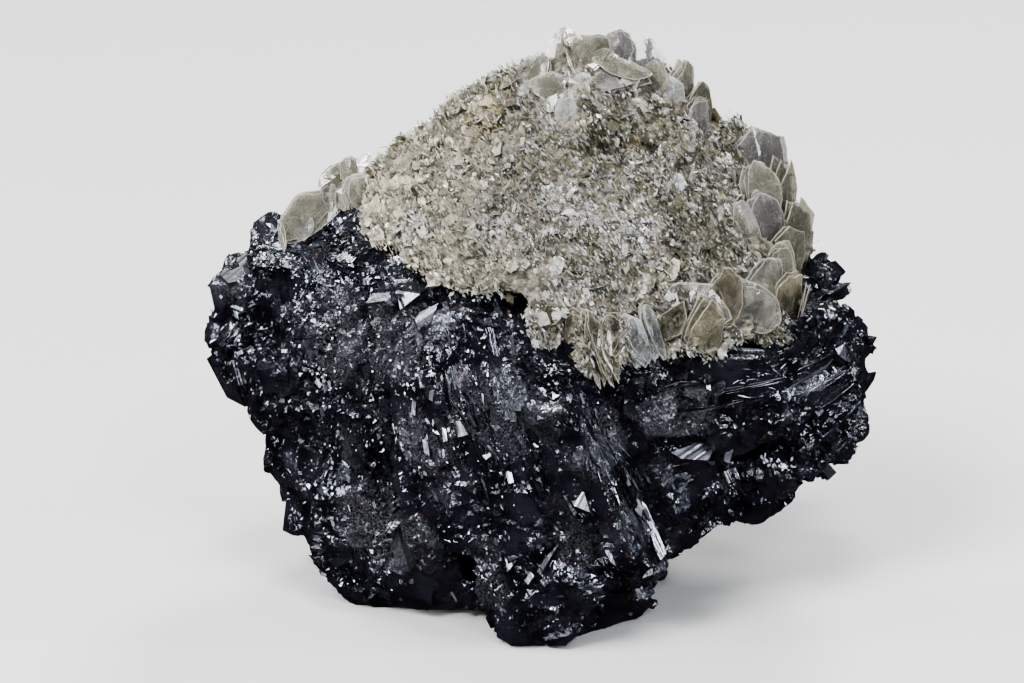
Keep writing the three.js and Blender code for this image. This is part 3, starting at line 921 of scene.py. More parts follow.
@dataclass
class Studio:
    """The floor, the lamps and the camera."""

    floor_side: float = 8.0  # in metres
    aim: Triple = (-2.38, -7.53, 23.0)
    camera_distance: float = 0.289  # in metres
    camera_elevation: float = 18.0
    lens: float = 130.0
    sensor: float = 36.0
    sight: Pair = (0.01, 20.0)  # the nearest and the farthest that the camera sees, in metres
    surround: float = 0.03  # how bright the room is

    def stand(self, azimuth: float, elevation: float, distance: float) -> Array:
        """A place that many metres from the point that the camera looks at."""
        return np.array(self.aim) + bearing(azimuth, elevation) * distance / MM

    @property
    def eye(self) -> Array:
        """Where the camera stands."""
        return self.stand(0, self.camera_elevation, self.camera_distance)

    def lamp_place(self, lamp: Lamp) -> Array:
        """Where a lamp stands."""
        box = LAMPS[lamp]
        return self.stand(box.azimuth, box.elevation, box.distance)

    def flash(self, points: Array, lamp: Lamp) -> Array:
        """The way that a face at each point must look to throw a lamp's light to the viewer."""
        return unit(unit(self.eye - points) + unit(self.lamp_place(lamp) - points))

    def build(self) -> None:
        """Builds the studio."""
        self._floor()
        for lamp, box in LAMPS.items():
            light = bpy.data.lights.new(lamp.value, "AREA")
            light.shape = "RECTANGLE"
            light.size, light.size_y = box.size
            light.energy = box.power
            light.color = box.colour
            self._aimed(light, self.lamp_place(lamp)).visible_camera = False
        scene = bpy.context.scene
        scene.world = bpy.data.worlds.new("surround")
        scene.world.use_nodes = True
        background = scene.world.node_tree.nodes["Background"]
        background.inputs["Color"].default_value = (self.surround, self.surround, self.surround, 1)
        scene.view_settings.view_transform = "AgX"
        scene.view_settings.look = "AgX - Medium High Contrast"
        lens = bpy.data.cameras.new("camera")
        lens.lens = self.lens
        lens.sensor_width = self.sensor
        lens.sensor_fit = "HORIZONTAL"
        lens.clip_start, lens.clip_end = self.sight
        scene.camera = self._aimed(lens, self.eye)

    def _aimed(self, data: bpy.types.ID, place: Array) -> bpy.types.Object:
        """Stands a lamp or a camera somewhere, so that it looks at the specimen.

        Args:
            data: The lamp or the camera.
            place: Where it stands.

        Returns:
            Its object, which has its name.
        """
        thing = bpy.data.objects.new(data.name, data)
        thing.matrix_world = looking_at(np.array(self.aim), place)
        bpy.context.scene.collection.objects.link(thing)
        return thing

    def _floor(self) -> None:
        """Builds a plain pale floor, which the glossy faces don't mirror."""
        half = self.floor_side / 2 / MM
        corners = np.array([(-half, -half, 0), (half, -half, 0), (half, half, 0), (-half, half, 0)], float)
        mesh = mesh_of("floor", corners, np.array([(0, 1, 2), (0, 2, 3)]), {})
        floor = shown(mesh, PlainCard().made())
        floor.visible_glossy = False


# --- How the black crystals grew -----------------------------------------------------------------


@dataclass(frozen=True)
class Growth:
    """A part of the mass whose crystals grew side by side."""

    middle: Triple
    axis: Triple
    turn: float = 0.0  # how far the crystals' sides are turned about the axis, in degrees


PRISM = (0.37, 0.08, -0.93)  # the way of the long crystals in the middle
GROWTHS = (
    Growth((-23, 3, 22), (-0.3, -0.2, 0.93), 24),
    Growth((-17, -4, 25), (0.62, -0.5, 0.6), 8),
    Growth((-19, 4, 8), (0.3, -0.1, -0.95), -18),
    Growth((-13, -6, 12), (0.42, -0.1, -0.9), 30),
    Growth((-12, -5, 3), (0.94, 0.1, -0.3), 12),
    Growth((-8, -12, 20), (0.34, -0.16, -0.93), -26),
    Growth((-4, -14, 6), (0.5, -0.3, 0.8), 40),
    Growth((3.6, -12, 15), PRISM, 18),
    Growth((12, -9, 20), (0.6, -0.62, 0.5), 6),
    Growth((14, -2, 8), (0.3, -0.5, -0.8), -32),
    Growth((6, -8, 2), (0.8, -0.6, 0.1), 15),
    Growth((23, 2, 17), (0.78, -0.2, 0.59), -10),
    Growth((-12, 14, 20), (-0.4, 0.5, 0.77), 20),
    Growth((3, 16, 16), (0.25, 0.3, 0.92), -15),
    Growth((17, 13, 20), (0.6, 0.6, 0.5), 35),
    Growth((0, 12, 5), (-0.6, 0.5, -0.6)),
)


@dataclass
class GrowthField:
    """The directions that crystals take, all over the mass."""

    bundle: float = 1.9  # the size of a bundle of crystals that stand almost parallel
    spread: float = 0.34  # how far one bundle leans from the next
    warp: float = 1.6  # how far the parts' borders wander
    warp_size: float = 6.0
    facing: ClassVar[Triple] = (0, -1, 0.05)  # the way that a crystal's side faces before it is turned

    def __post_init__(self) -> None:
        """Works out the directions of every part."""
        rng = np.random.default_rng(Seed.GROWTH)
        self.middles = placed([part.middle for part in GROWTHS])
        self.axes = unit(np.array([part.axis for part in GROWTHS]))
        sides = square_to(self.axes, np.tile(self.facing, (len(GROWTHS), 1)))
        turns = np.radians([part.turn for part in GROWTHS])[:, None]
        self.sides = sides * np.cos(turns) + np.cross(self.axes, sides) * np.sin(turns)
        self.wobble = [Ripple(rng, self.warp_size) for _ in range(3)]

    def frames(self, points: Array, bundles: bool = True) -> tuple[Array, Array]:
        """The crystals' directions at some places.

        Args:
            points: Places on the mass.
            bundles: Whether each bundle of crystals leans its own way.

        Returns:
            Their long axis, and the direction that one of their sides faces.
        """
        warped = points + self.warp * np.stack([w(points) for w in self.wobble], -1)
        part = np.linalg.norm(warped[:, None] - self.middles[None], axis=-1).argmin(1)
        lean = cell_random(warped, self.bundle, Seed.BUNDLES) * self.spread * bundles
        axis = unit(self.axes[part] + lean)
        return axis, square_to(axis, self.sides[part] + lean[:, [2, 0, 1]])


def drawn_out(points: Array, axis: Array, share: Array) -> Array:
    """Points moved together by a share along an axis, which draws out what is looked up there."""
    return points - axis * dot(points, axis) * share


def tube(rings: int, count: int, capped: bool = True) -> list[tuple[int, int, int]]:
    """The triangles of a tube between rings of corners, anticlockwise from outside.

    Args:
        rings: How many rings it has, from its foot up.
        count: How many corners a ring has.
        capped: Whether its upper end is closed, as its foot is.

    Returns:
        The triangles.
    """
    faces = []
    for start in range(0, (rings - 1) * count, count):
        for i in range(count):
            a, b = start + i, start + (i + 1) % count
            faces += [(a, b, b + count), (a, b + count, a + count)]
    faces += [(0, i + 1, i) for i in range(1, count - 1)]
    if capped:
        end = (rings - 1) * count
        faces += [(end, end + i, end + i + 1) for i in range(1, count - 1)]
    return faces


class Habit(Enum):
    """The forms that a crystal takes: its outline, then its rings from the foot up.

    A ring is its height as a share of the length, a height as a share of the width, and how much of the
    outline's two widths it keeps. A tip closes the last ring in a point, and a single ring has two tips.
    """

    GRAIN = ("square", ((0.5, 0, 1, 1),), True)
    POINTED = ("square", ((0, 0, 1, 1), (1, -0.42, 1, 1)), True)
    BEVELLED = ("eight", ((0, 0, 1, 1), (1, -0.36, 1, 1)), True)
    BLUNT = ("square", ((0, 0, 1, 1), (1, -0.3, 1, 1), (1, 0, 0.5, 0.42)), False)
    CHISEL = ("square", ((0, 0, 1, 1), (1, -0.4, 1, 1), (1, 0, 0.86, 0.12)), False)

    @property
    def outline(self) -> Array:
        """The corners of the crystal's section.

        Returns:
            The corners, for a width of 1 each way.
        """
        if self.value[0] == "square":
            return np.array([(0.5, 0.5), (-0.5, 0.5), (-0.5, -0.5), (0.5, -0.5)])
        near, far = 0.24, 0.5
        corners = [(far, near), (near, far), (-near, far), (-far, near)]
        return np.array(corners + [(-x, -y) for x, y in corners])

    def form(self) -> tuple[Array, Array]:
        """The rings' shares and the triangles of the closed form.

        Returns:
            One row for each corner: x and y of the outline, and the two shares of its height; and the
            triangles, facing out.
        """
        outline, rings, tipped = self.outline, self.value[1], self.value[2]
        rows = [(x * wide, y * deep, along, up) for along, up, wide, deep in rings for x, y in outline]
        count = len(outline)
        last = (len(rings) - 1) * count
        if len(rings) == 1:
            rows.append((0, 0, 0, 0))
            faces = [((i + 1) % count, i, count) for i in range(count)]
        else:
            faces = tube(len(rings), count, capped=not tipped)
        if tipped:
            rows.append((0, 0, 1, 0))
            faces += [(last + i, last + (i + 1) % count, len(rows) - 1) for i in range(count)]
        return np.array(rows, float), np.array(faces)


@dataclass
class Crystals:
    """Crystals of one habit, ready to go on a heap."""

    foot: Array
    axis: Array
    side: Array
    length: Array
    width: Array
    depth: Array
    skew: ClassVar[float] = 0.2  # how far a tip lies off its middle, as a share of the width
    rough: ClassVar[float] = 1.4  # how rough the roughest crystal is

    def put_on(self, heap: Heap, habit: Habit, rng: np.random.Generator) -> None:
        """Adds the crystals to a heap.

        Args:
            heap: Where they go.
            habit: Their form.
            rng: Gives each crystal a small skew of its tip and a finish of its own.
        """
        rows, faces = habit.form()
        across = np.cross(self.axis, self.side)
        x, y, along, up = (rows[None, :, i, None] for i in range(4))
        width, depth, length = (v[:, None, None] for v in (self.width, self.depth, self.length))
        tip = (up == 0) & (along > 0.5)
        skew = rng.normal(size=(len(self.foot), 1, 2)) * self.skew
        points = self.foot[:, None] + self.axis[:, None] * (along * length + up * np.minimum(width, depth))
        points = points + self.side[:, None] * ((x + skew[..., :1] * tip) * width)
        points = points + across[:, None] * ((y + skew[..., 1:] * tip) * depth)
        clear = above_floor(points)
        facet = rng.random(clear.sum()) * self.rough
        dull = most(DULL, self.foot[clear])
        heap.add(points[clear], faces, facet=facet, along=self.axis[clear], dull=dull)


@dataclass(frozen=True)
class CrystalSize:
    """One size of crystals: how many places are tried, how close they stand, and how they look."""

    tries: int
    spacing: float
    width: float
    vary: float  # how much the widths differ, as the spread of their logarithm
    length: float  # as a share of the width
    lean: float  # how far each crystal leans from its bundle
    rise: Pair  # how far it stands out, as a share of the width
    habits: tuple[tuple[Habit, float], ...]
    patches: tuple[Patch, ...] = ()
    elsewhere: float = 1.0  # how many grow outside the patches


@dataclass(frozen=True)
class Glints:
    """A patch of small bright faces, turned so that they throw one lamp's light to the viewer."""

    at: Triple
    radius: float
    count: int
    size: Pair  # the faces' radii
    lamp: Lamp = Lamp.KEY
    long: float = 1.3  # a face's length as a share of its width
    lie: Triple = (0.34, -0.1, -0.93)  # the way of the long faces
    spread: float = 0.12  # how far a face leans from the lamp's flash
    dim: float = 4.0  # how rough the roughest face is
    corners: ClassVar[int] = 5
    cluster: ClassVar[float] = 1.4  # the size of the clusters that the faces come in
    drawn: ClassVar[float] = 0.65  # how far the clusters are drawn out along the faces
    in_view: ClassVar[float] = 0.25  # how far the ground must face the viewer
    foot: ClassVar[float] = 1.2  # how much wider a face's block is at its foot

    def put_on(self, heap: Heap, ground: Skin, studio: Studio, rng: np.random.Generator) -> None:
        """Adds the patch's faces to a heap, as low blocks that stand in the ground.

        Args:
            heap: Where they go.
            ground: The surface of the black mass.
            studio: Where the lamps and the viewer are.
            rng: Where the faces come from.
        """
        patch = Patch(self.at, self.radius)
        clusters = Ripple(rng, self.cluster)
        lie = unit(np.array([self.lie]))

        def chance(at: Array, normal: Array) -> Array:
            """The chance that a face stands at each point."""
            share = patch.share(at) * smooth_step(clusters(drawn_out(at, lie, self.drawn)), -0.2, 0.3)
            return share * (dot(normal, unit(studio.eye - at))[:, 0] > self.in_view)

        at, normal = ground.scatter(rng, self.count, chance, (placed(self.at), self.radius + 0.6))
        count, corners = len(at), self.corners
        faces = unit(studio.flash(at, self.lamp) + rng.normal(size=at.shape) * self.spread)
        along = square_to(faces, np.array(self.lie) + rng.normal(size=at.shape) * 0.3)
        across = np.cross(faces, along)
        low, high = self.size
        radius = low * 0.7 + (high - low * 0.7) * rng.random(count) ** 2.0
        tilt = np.sqrt(np.clip(1 - dot(faces, normal)[:, 0] ** 2, 0, 1))
        heart = at + normal * (0.02 + 0.45 * radius * tilt + 0.14 * most(SUGAR, at))[:, None]
        turn = np.arange(corners) * 2 * math.pi / corners + rng.uniform(-0.3, 0.3, (count, corners))
        reach = radius[:, None] * rng.uniform(0.7, 1.15, (count, corners))
        spoke = along[:, None] * (reach * np.cos(turn) * self.long)[..., None]
        spoke = spoke + across[:, None] * (reach * np.sin(turn))[..., None]
        top = heart[:, None] + spoke
        deep = (radius * 1.3 + 0.12)[:, None, None]
        foot = heart[:, None] + spoke * self.foot - faces[:, None] * deep
        points = np.concatenate([foot, top], 1)
        clear = above_floor(points)
        facet = self.dim * rng.random(clear.sum()) ** 1.3
        heap.add(points[clear], np.array(tube(2, corners)), facet=facet, along=along[clear])


def beyond(outline: Array, across: Array, limit: float) -> Array:
    """Cuts an outline with a line.

    Args:
        outline: Its corners, in order.
        across: The direction square to the line.
        limit: How far along that direction the line lies.

    Returns:
        The corners of the part beyond the line.
    """
    depth = outline @ across - limit
    out = []
    for here, there, a, b in zip(outline, np.roll(outline, -1, 0), depth, np.roll(depth, -1)):
        if a >= 0:
            out.append(here)
        if (a >= 0) != (b >= 0):
            out.append(here + (there - here) * (a / (a - b)))
    return np.array(out)


@dataclass(frozen=True)
class Facet:
    """One large striated crystal face that throws a lamp's light to the viewer.

    Its outline is in millimetres to the right and up as seen, about the face's middle, anticlockwise.
    """

    at: Triple
    outline: tuple[Pair, ...]
    lamp: Lamp
    lines: float = -70.0  # which way its striae run, in degrees from the right
    stria: float = 0.2  # their width
    dim: float = 2.4  # how rough its striae are
    relief: float = 0.14  # how far they lean from the face
    aside: Triple = (0, 0, 0)  # how far the face leans from the lamp's flash
    clear: float = 0.7  # how much of the ground it clears
    deep: ClassVar[float] = 1.2
    proud: ClassVar[float] = 0.04  # how far it stands out of what it clears
    thinnest: ClassVar[float] = 0.03  # a narrower stria is left out

    def put_on(self, heap: Heap, ground: Skin, studio: Studio, rng: np.random.Generator) -> None:
        """Adds the face to a heap, as the tops of narrow blocks that stand in the ground.

        Args:
            heap: Where it goes.
            ground: The surface of the black mass.
            studio: Where the lamps and the viewer are.
            rng: Gives the striae their widths and finish.
        """
        at = placed([self.at])
        view = unit(studio.eye - at)
        face = unit(studio.flash(at, self.lamp) + np.array(self.aside))
        right = square_to(view, np.array([[1.0, 0.0, 0.0]]))
        up = np.cross(view, right)
        shape = np.array(self.outline)

        def ahead(points: Array) -> Array:
            """How far each point lies behind the face's plane, along the view."""
            return dot(points, face) / dot(view, face)

        flat = at + shape[:, :1] * right + shape[:, 1:] * up
        flat = flat + view * ahead(at - flat)
        seen = ground.seen(studio.eye, np.concatenate([flat * 0.9 + at * 0.1, at]))
        stand = max(np.quantile(ahead(seen - at), self.clear), 0.0) + self.proud
        turn = math.radians(self.lines)
        run, across = np.array([math.cos(turn), math.sin(turn)]), np.array([-math.sin(turn), math.cos(turn)])
        low, high = (shape @ across).min(), (shape @ across).max()
        widths = rng.uniform(0.4, 1.6, max(round((high - low) / self.stria), 1))
        edges = low + (high - low) * np.concatenate([[0.0], np.cumsum(widths) / widths.sum()])
        along = unit(run[0] * right + run[1] * up)
        for start, end in zip(edges[:-1], edges[1:]):
            wide = end - start > self.thinnest
            piece = beyond(beyond(shape, across, start), -across, -end) if wide else ()
            if len(piece) < 3:
                continue
            slope = rng.normal() * self.relief
            corners = at + piece[:, :1] * right + piece[:, 1:] * up
            corners = corners + view * (ahead(at - corners) + stand)
            height = (piece @ across - (start + end) / 2) * slope
            top = corners + face * height[:, None]
            foot = top.mean(0) + (top - top.mean(0)) * 1.04 - face * self.deep
            points = np.concatenate([foot, top])[None]
            points[..., 2] = np.maximum(points[..., 2], CLEAR_OF_FLOOR + 0.01)
            facet = self.dim * rng.uniform(0.5, 1.5, 1)
            heap.add(points, np.array(tube(2, len(piece))), facet=facet, along=along)


# crusts of tiny crystals
SUGAR = patches(
    (-18, -3.8, 26.5, 4), (-18.2, -4.4, 22.6, 4.6), (-16.8, -4.8, 18, 3.4, 0.7),
    (-13.4, -8.4, 27.4, 3.6, 0.8), (-12, -8.6, 12, 4, 0.6), (-4, -13.4, 8, 4.6, 0.7),
    (10.2, -10.6, 18.6, 3, 0.8), (-22.6, 2, 19, 4.4, 0.5), (-15, -6.4, 5, 4.4, 0.5),
)
# parts whose crystals run side by side
STREAKY = patches((-6.4, -12.4, 20, 7.5), (0.6, -13.6, 16, 7.5), (6.6, -12.4, 11, 7), (-13, -7, 12, 6, 0.7))
# etched parts
DULL = patches(
    (10.4, -10.6, 18.4, 3.6, 1), (-11.4, -10.4, 24.2, 3.6, 0.75), (-9, -11.4, 27, 2.6, 0.6),
    (-24.4, 2, 26, 3.2, 0.4), (-15.8, -5.6, 23.4, 4.6, 0.55), (-3.6, -13.8, 20.2, 4, 0.45),
    (-9, -12.6, 17.4, 3.4, 0.45), (-9.6, -11, 8.6, 2.6, 0.6), (3.4, -13.6, 8.8, 2.4, 0.4),
    (4.6, -12.6, 17, 3.6, 0.8), (7, -12.4, 11, 2.4, 0.35), (-13, -7, 8, 4.4, 0.55), (-5, -12.8, 5, 3, 0.4),
)
# where the mass stands out past its solid, in millimetres, and where it stays behind it
SWELL = patches(
    (-26, 2, 18.6, 4, 1.3), (26.2, -1.2, 18, 2.6, 0.6), (-24.4, 1.6, 14.6, 3.6, 0.6),
    (-21.8, 1.6, 9.6, 3.2, 0.5), (17, 0.4, 6.6, 4.4, 1), (26, -1.2, 15.6, 2.6, 0.4),
)
TRIM = patches(
    (-26, 1.6, 25.6, 3.6, 0.2), (25.2, 6.6, 23.4, 5, 1.3), (26.8, 0.6, 21.8, 2.4, 0.8),
    (21.8, -1.4, 10.6, 3.4, 0.6), (-20.2, 1.4, 31.4, 2.6, 0.6),
)
# quiet faces, which few crystals break
CALM = patches(
    (7.6, -9.7, 15.3, 3.8, 0.9), (10.9, -8.5, 10.7, 4.6, 0.9), (12.1, -8.1, 15.3, 2.6),
    (-24.9, 2.2, 26.6, 1.8), (4.6, -13.2, 15.5, 2.6, 0.9), (6.8, -12.4, 11, 2.6, 0.9),
    (8.4, -12.2, 7.2, 2.2, 0.9), (15.4, -10.6, 21.6, 3.4, 0.85), (19.6, -6, 20.6, 3.4, 0.85),
    (23.6, -3.8, 18.6, 4, 0.85), (12.8, -10.8, 21.4, 1.4), (-2.6, -13.8, 9.6, 2.2, 0.7),
    (-1, -13.6, 5.2, 2.4, 0.6), (-10.6, -7.6, 29.2, 1.8), (-16.2, -4.1, 29.4, 1.8), (-20, -1.6, 26, 2, 0.8),
    (-19.6, -2.4, 20.4, 2, 0.8), (-13.6, -7.4, 19, 2.2, 0.8), (1, -14, 21, 2.2, 0.8),
    (-6.4, -13.4, 22.8, 1.5), (-21.2, 4.4, 30.4, 3.2), (2.8, -14, 12.2, 2.8), (-1.9, -14.8, 14.8, 1.2),
    (-26.4, 2.4, 25.2, 2.6), (25.2, 7.4, 22, 3.8), (26.1, 0.7, 21.8, 2.2), (18.6, -7.6, 20.4, 3.2, 0.8),
    (22.4, -5, 19.6, 3.2, 0.8), (-7.4, -11.4, 26.6, 1.9), (-3.8, -12.6, 0.8, 1.6), (9.2, -6, 1.4, 3),
    (26.4, 1, 19, 4.6, 0.9), (24.4, -1, 11.6, 3, 0.9), (-23.4, 1, 12.6, 4, 0.6),
)
CHIPS = (
    Chips(2.6, 0.55, 0.24, Seed.LARGE_CHIPS),
    Chips(1.15, 0.34, 0.12, Seed.CHIPS),
    Chips(0.55, 0.2, 0.05, Seed.SMALL_CHIPS),
)
FRONT_SIZES = (
    CrystalSize(
        900, 3.0, 1.15, 0.25, 2.0, 0.2, (0.0, 0.22),
        ((Habit.BEVELLED, 0.25), (Habit.POINTED, 0.45), (Habit.CHISEL, 0.3)),
    ),
    CrystalSize(
        9000, 0.95, 0.6, 0.34, 1.7, 0.34, (0.05, 0.38),
        ((Habit.GRAIN, 0.35), (Habit.POINTED, 0.4), (Habit.BLUNT, 0.1), (Habit.CHISEL, 0.15)),
    ),
    CrystalSize(
        9000, 0.6, 0.4, 0.34, 5.0, 0.12, (0.1, 0.42),
        ((Habit.GRAIN, 0.4), (Habit.POINTED, 0.3), (Habit.CHISEL, 0.3)), STREAKY, 0.0,
    ),
)
SUGAR_SIZES = (
    CrystalSize(
        90000, 0.36, 0.36, 0.34, 1.5, 0.6, (0.1, 0.5), ((Habit.GRAIN, 1.0),), SUGAR, 0.55,
    ),
)
REAR_SIZES = (
    CrystalSize(
        1500, 2.5, 1.5, 0.3, 2.0, 0.14, (0.05, 0.4),
        ((Habit.BEVELLED, 0.4), (Habit.POINTED, 0.3), (Habit.BLUNT, 0.3)),
    ),
    CrystalSize(
        6000, 1.2, 0.85, 0.34, 2.0, 0.22, (0.1, 0.45),
        ((Habit.GRAIN, 0.3), (Habit.POINTED, 0.4), (Habit.CHISEL, 0.3)),
    ),
    CrystalSize(22000, 0.7, 0.5, 0.36, 1.6, 0.5, (0.1, 0.5), ((Habit.GRAIN, 1.0),)),
)


def swollen(points: Array) -> Array:
    """How far the black mass stands out past its solid at the points, as a column."""
    return (most(SWELL, points) - most(TRIM, points))[:, None]


class Side(Enum):
    """Which side of the mass a druse covers."""

    FACE = "face"
    REAR = "rear"


@dataclass
class BlackMass:
    """The cassiterite: its crystal faces, its druse, its streaks and its ridges."""

    studio: Studio
    growth: GrowthField = field(default_factory=GrowthField)
    rear_from: float = 2.5  # the y where the face ends
    facet: float = 0.5  # the size of the body's facets, which are halved on its face
    under_mica: float = 0.7  # nearer to the mica than this, nothing is halved
    high_from: Pair = (9.0, 17.0)  # from the first height to the second, the mass gets more broken
    turned: float = -0.3  # a crystal that points further into the surface grows the other way
    facing: float = -0.05  # the body's facets that face the viewer more than this are halved
    feet: Pair = (0.15, 0.9)  # from the first height to the second, the feet's flat sides end
    fewest: float = 0.03  # the share of crystals that grow on the quiet faces too
    lowest: float = 0.35  # the height where the first crystals grow
    beside_mica: Pair = (0.42, 0.25)  # a crystal's gap to the mica, and what its width adds to it
    widest: float = 1.9  # how much wider than its size a crystal may grow

    def __post_init__(self) -> None:
        """Reads the surfaces that the crystals grow on and next to."""
        self.skin = Skin.of_node("cassiterite_mass")
        self.mica = Skin.of_node("mica_crust")
        self.finish = Cassiterite().made()
        self.unrest = Ripple(np.random.default_rng(Seed.UNREST), 5.5)
        self.bands = Ripple(np.random.default_rng(Seed.BANDS), 1.9)

    def _busy(self, points: Array) -> Array:
        """How broken the mass is.

        Args:
            points: Places on the mass.

        Returns:
            0 on its quiet faces, 1 in its crumbly parts.
        """
        high = 0.55 + 0.45 * smooth_step(points[:, 2], *self.high_from)
        axis, _ = self.growth.frames(points, bundles=False)
        own = smooth_step(self.unrest(points), -0.45, 0.3) * high
        banded = 0.12 + 0.88 * smooth_step(self.bands(drawn_out(points, axis, 0.75)), -0.3, 0.2)
        return np.maximum(own, most(SUGAR, points)) * banded * (1 - most(CALM, points))

    def body(self) -> bpy.types.Object:
        """The body: the solid's surface, chipped along the crystals and broken into small facets.

        Returns:
            The piece. Its surface is kept as the ground that the bright faces stand in.
        """
        points, normals, faces = remeshed(self.skin, self.facet)
        middles = points[faces].mean(1)
        facing = dot(normals[faces].mean(1), unit(self.studio.eye - middles))[:, 0] > self.facing
        under = self.mica.distance(middles, 1.0) < self.under_mica
        rows, faces = halved(np.hstack([points, normals]), faces, facing & ~under)
        points, normals = rows[:, :3], unit(rows[:, 3:])
        rng = np.random.default_rng(Seed.BODY)
        axis, _ = self.growth.frames(points, bundles=False)
        calm, sugar, streaky = (most(where, points)[:, None] for where in (CALM, SUGAR, STREAKY))
        drawn = drawn_out(points, axis, 0.3 + 0.45 * streaky)
        busy = self._busy(points)[:, None]
        large, middling, small = (chips.height(drawn) for chips in CHIPS)
        raised = large * 1.25 + middling * (0.35 + 0.55 * busy) + small * (0.02 + 0.78 * busy)
        fine = rng.normal(size=points.shape) * (0.03 * busy + 0.05 * sugar)
        still = smooth_step(points[:, 2], *self.feet)[:, None]
        raised = raised * (1 - 0.9 * calm) + swollen(points)
        points = points + (normals * raised + fine * (1 - calm)) * still
        points[:, 2] = np.maximum(points[:, 2], 0)
        self.ground = Skin(points, faces)
        facet = 0.5 + 0.5 * cell_random(points, 1.2, Seed.BODY_TONES)[:, :1]
        marks = {"facet": facet, "along": axis, "dull": most(DULL, points)}
        return shown(mesh_of("cassiterite_body", points, faces, marks), self.finish)

    def _chance(self, size: CrystalSize, where: Side, at: Array) -> Array:
        """The chance that a crystal grows at each place.

        Args:
            size: The crystals' size.
            where: The side that they cover.
            at: The places.

        Returns:
            The chances.
        """
        wanted = (at[:, 1] < self.rear_from) == (where is Side.FACE)
        share = most(size.patches, at) if size.patches else 1.0
        share = share + size.elsewhere * (1 - share)
        busy = self.fewest + (1 - self.fewest) * self._busy(at)
        return share * busy * wanted * (at[:, 2] > self.lowest)

    def druse(self, name: str, where: Side, sizes: tuple[CrystalSize, ...], seed: Seed) -> bpy.types.Object:
        """The crystals that stand out of one side of the mass.

        Args:
            name: The piece's name.
            where: The side.
            sizes: The sizes of crystals on it.
            seed: Where the crystals come from.

        Returns:
            The piece.
        """
        rng = np.random.default_rng(seed)
        heap = Heap()
        gap, more = self.beside_mica
        for size in sizes:
            at, normal = self.skin.scatter(rng, size.tries, lambda at, _: self._chance(size, where, at))
            kept = thinned(at, size.spacing, rng)
            at, normal = at[kept], normal[kept]
            open_air = self.mica.distance(at, 1.4) > gap + more * size.width
            at, normal = at[open_air], normal[open_air]
            shares = np.cumsum([share for _, share in size.habits])
            pick = np.searchsorted(shares, rng.random(len(at)) * shares[-1])
            for i, (habit, _) in enumerate(size.habits):
                mine = pick == i
                self._crystals(at[mine], normal[mine], size, rng).put_on(heap, habit, rng)
        return heap.built(name, self.finish)

    def _crystals(self, at: Array, normal: Array, size: CrystalSize, rng: np.random.Generator) -> Crystals:
        """Crystals that stand out of the surface, or lie half sunk where they grew along it.

        Args:
            at: Where they grow.
            normal: The surface's normals there.
            size: Their size.
            rng: Where their differences come from.

        Returns:
            The crystals.
        """
        axis, side = self.growth.frames(at)
        axis = unit(axis + rng.normal(size=axis.shape) * size.lean * 0.6)
        side = square_to(axis, side + rng.normal(size=axis.shape) * size.lean * 0.6)
        out = dot(axis, normal)
        axis = np.where(out < self.turned, -axis, axis)
        out = np.abs(out)
        width = size.width * np.exp(rng.normal(size=len(at)) * size.vary)
        width = np.minimum(width, size.width * self.widest)
        depth = width * rng.uniform(0.7, 1.25, len(at))
        length = width * size.length * rng.uniform(0.7, 1.5, len(at))
        rise = width * rng.uniform(*size.rise, len(at))
        standing = length / 2 - rise
        lying = width / 2 - rise * 0.8
        sunk = lying[:, None] * (1 - out) + standing[:, None] * out - swollen(at)
        foot = at - normal * sunk - axis * (length / 2)[:, None]
        return Crystals(foot, axis, side, length, width, depth)

    def bright_faces(self) -> bpy.types.Object:
        """The faces that flash: patches of small ones, and the large ones one by one.

        Returns:
            The piece.
        """
        rng = np.random.default_rng(Seed.BRIGHT_FACES)
        heap = Heap()
        for bright in (*GLINTS, *FACETS):
            bright.put_on(heap, self.ground, self.studio, rng)
        return heap.built("cassiterite_bright_faces", self.finish)

    def ribs(self) -> bpy.types.Object:
        """The streaks along the long crystals and the ridges at the right, as fine ribs on the faces.

        Returns:
            The piece.
        """
        rng = np.random.default_rng(Seed.RIBS)
        heap = Heap()
        for ribs in RIB_FIELDS:
            ribs.put_on(heap, self.skin, rng)
        return heap.built("cassiterite_growth_ribs", self.finish, smooth=75)

    def build(self) -> None:
        """Builds every piece of the black mass and fastens it to the frame."""
        body = self.body()
        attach(body, "root")
        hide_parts("cassiterite_mass")
        report(body)
        for piece in (
            self.druse("cassiterite_druse_face", Side.FACE, FRONT_SIZES, Seed.DRUSE_FACE),
            self.druse("cassiterite_druse_sugar", Side.FACE, SUGAR_SIZES, Seed.DRUSE_SUGAR),
            self.druse("cassiterite_druse_rear", Side.REAR, REAR_SIZES, Seed.DRUSE_REAR),
            self.bright_faces(),
            self.ribs(),
        ):
            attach(piece, "root")
            report(piece)


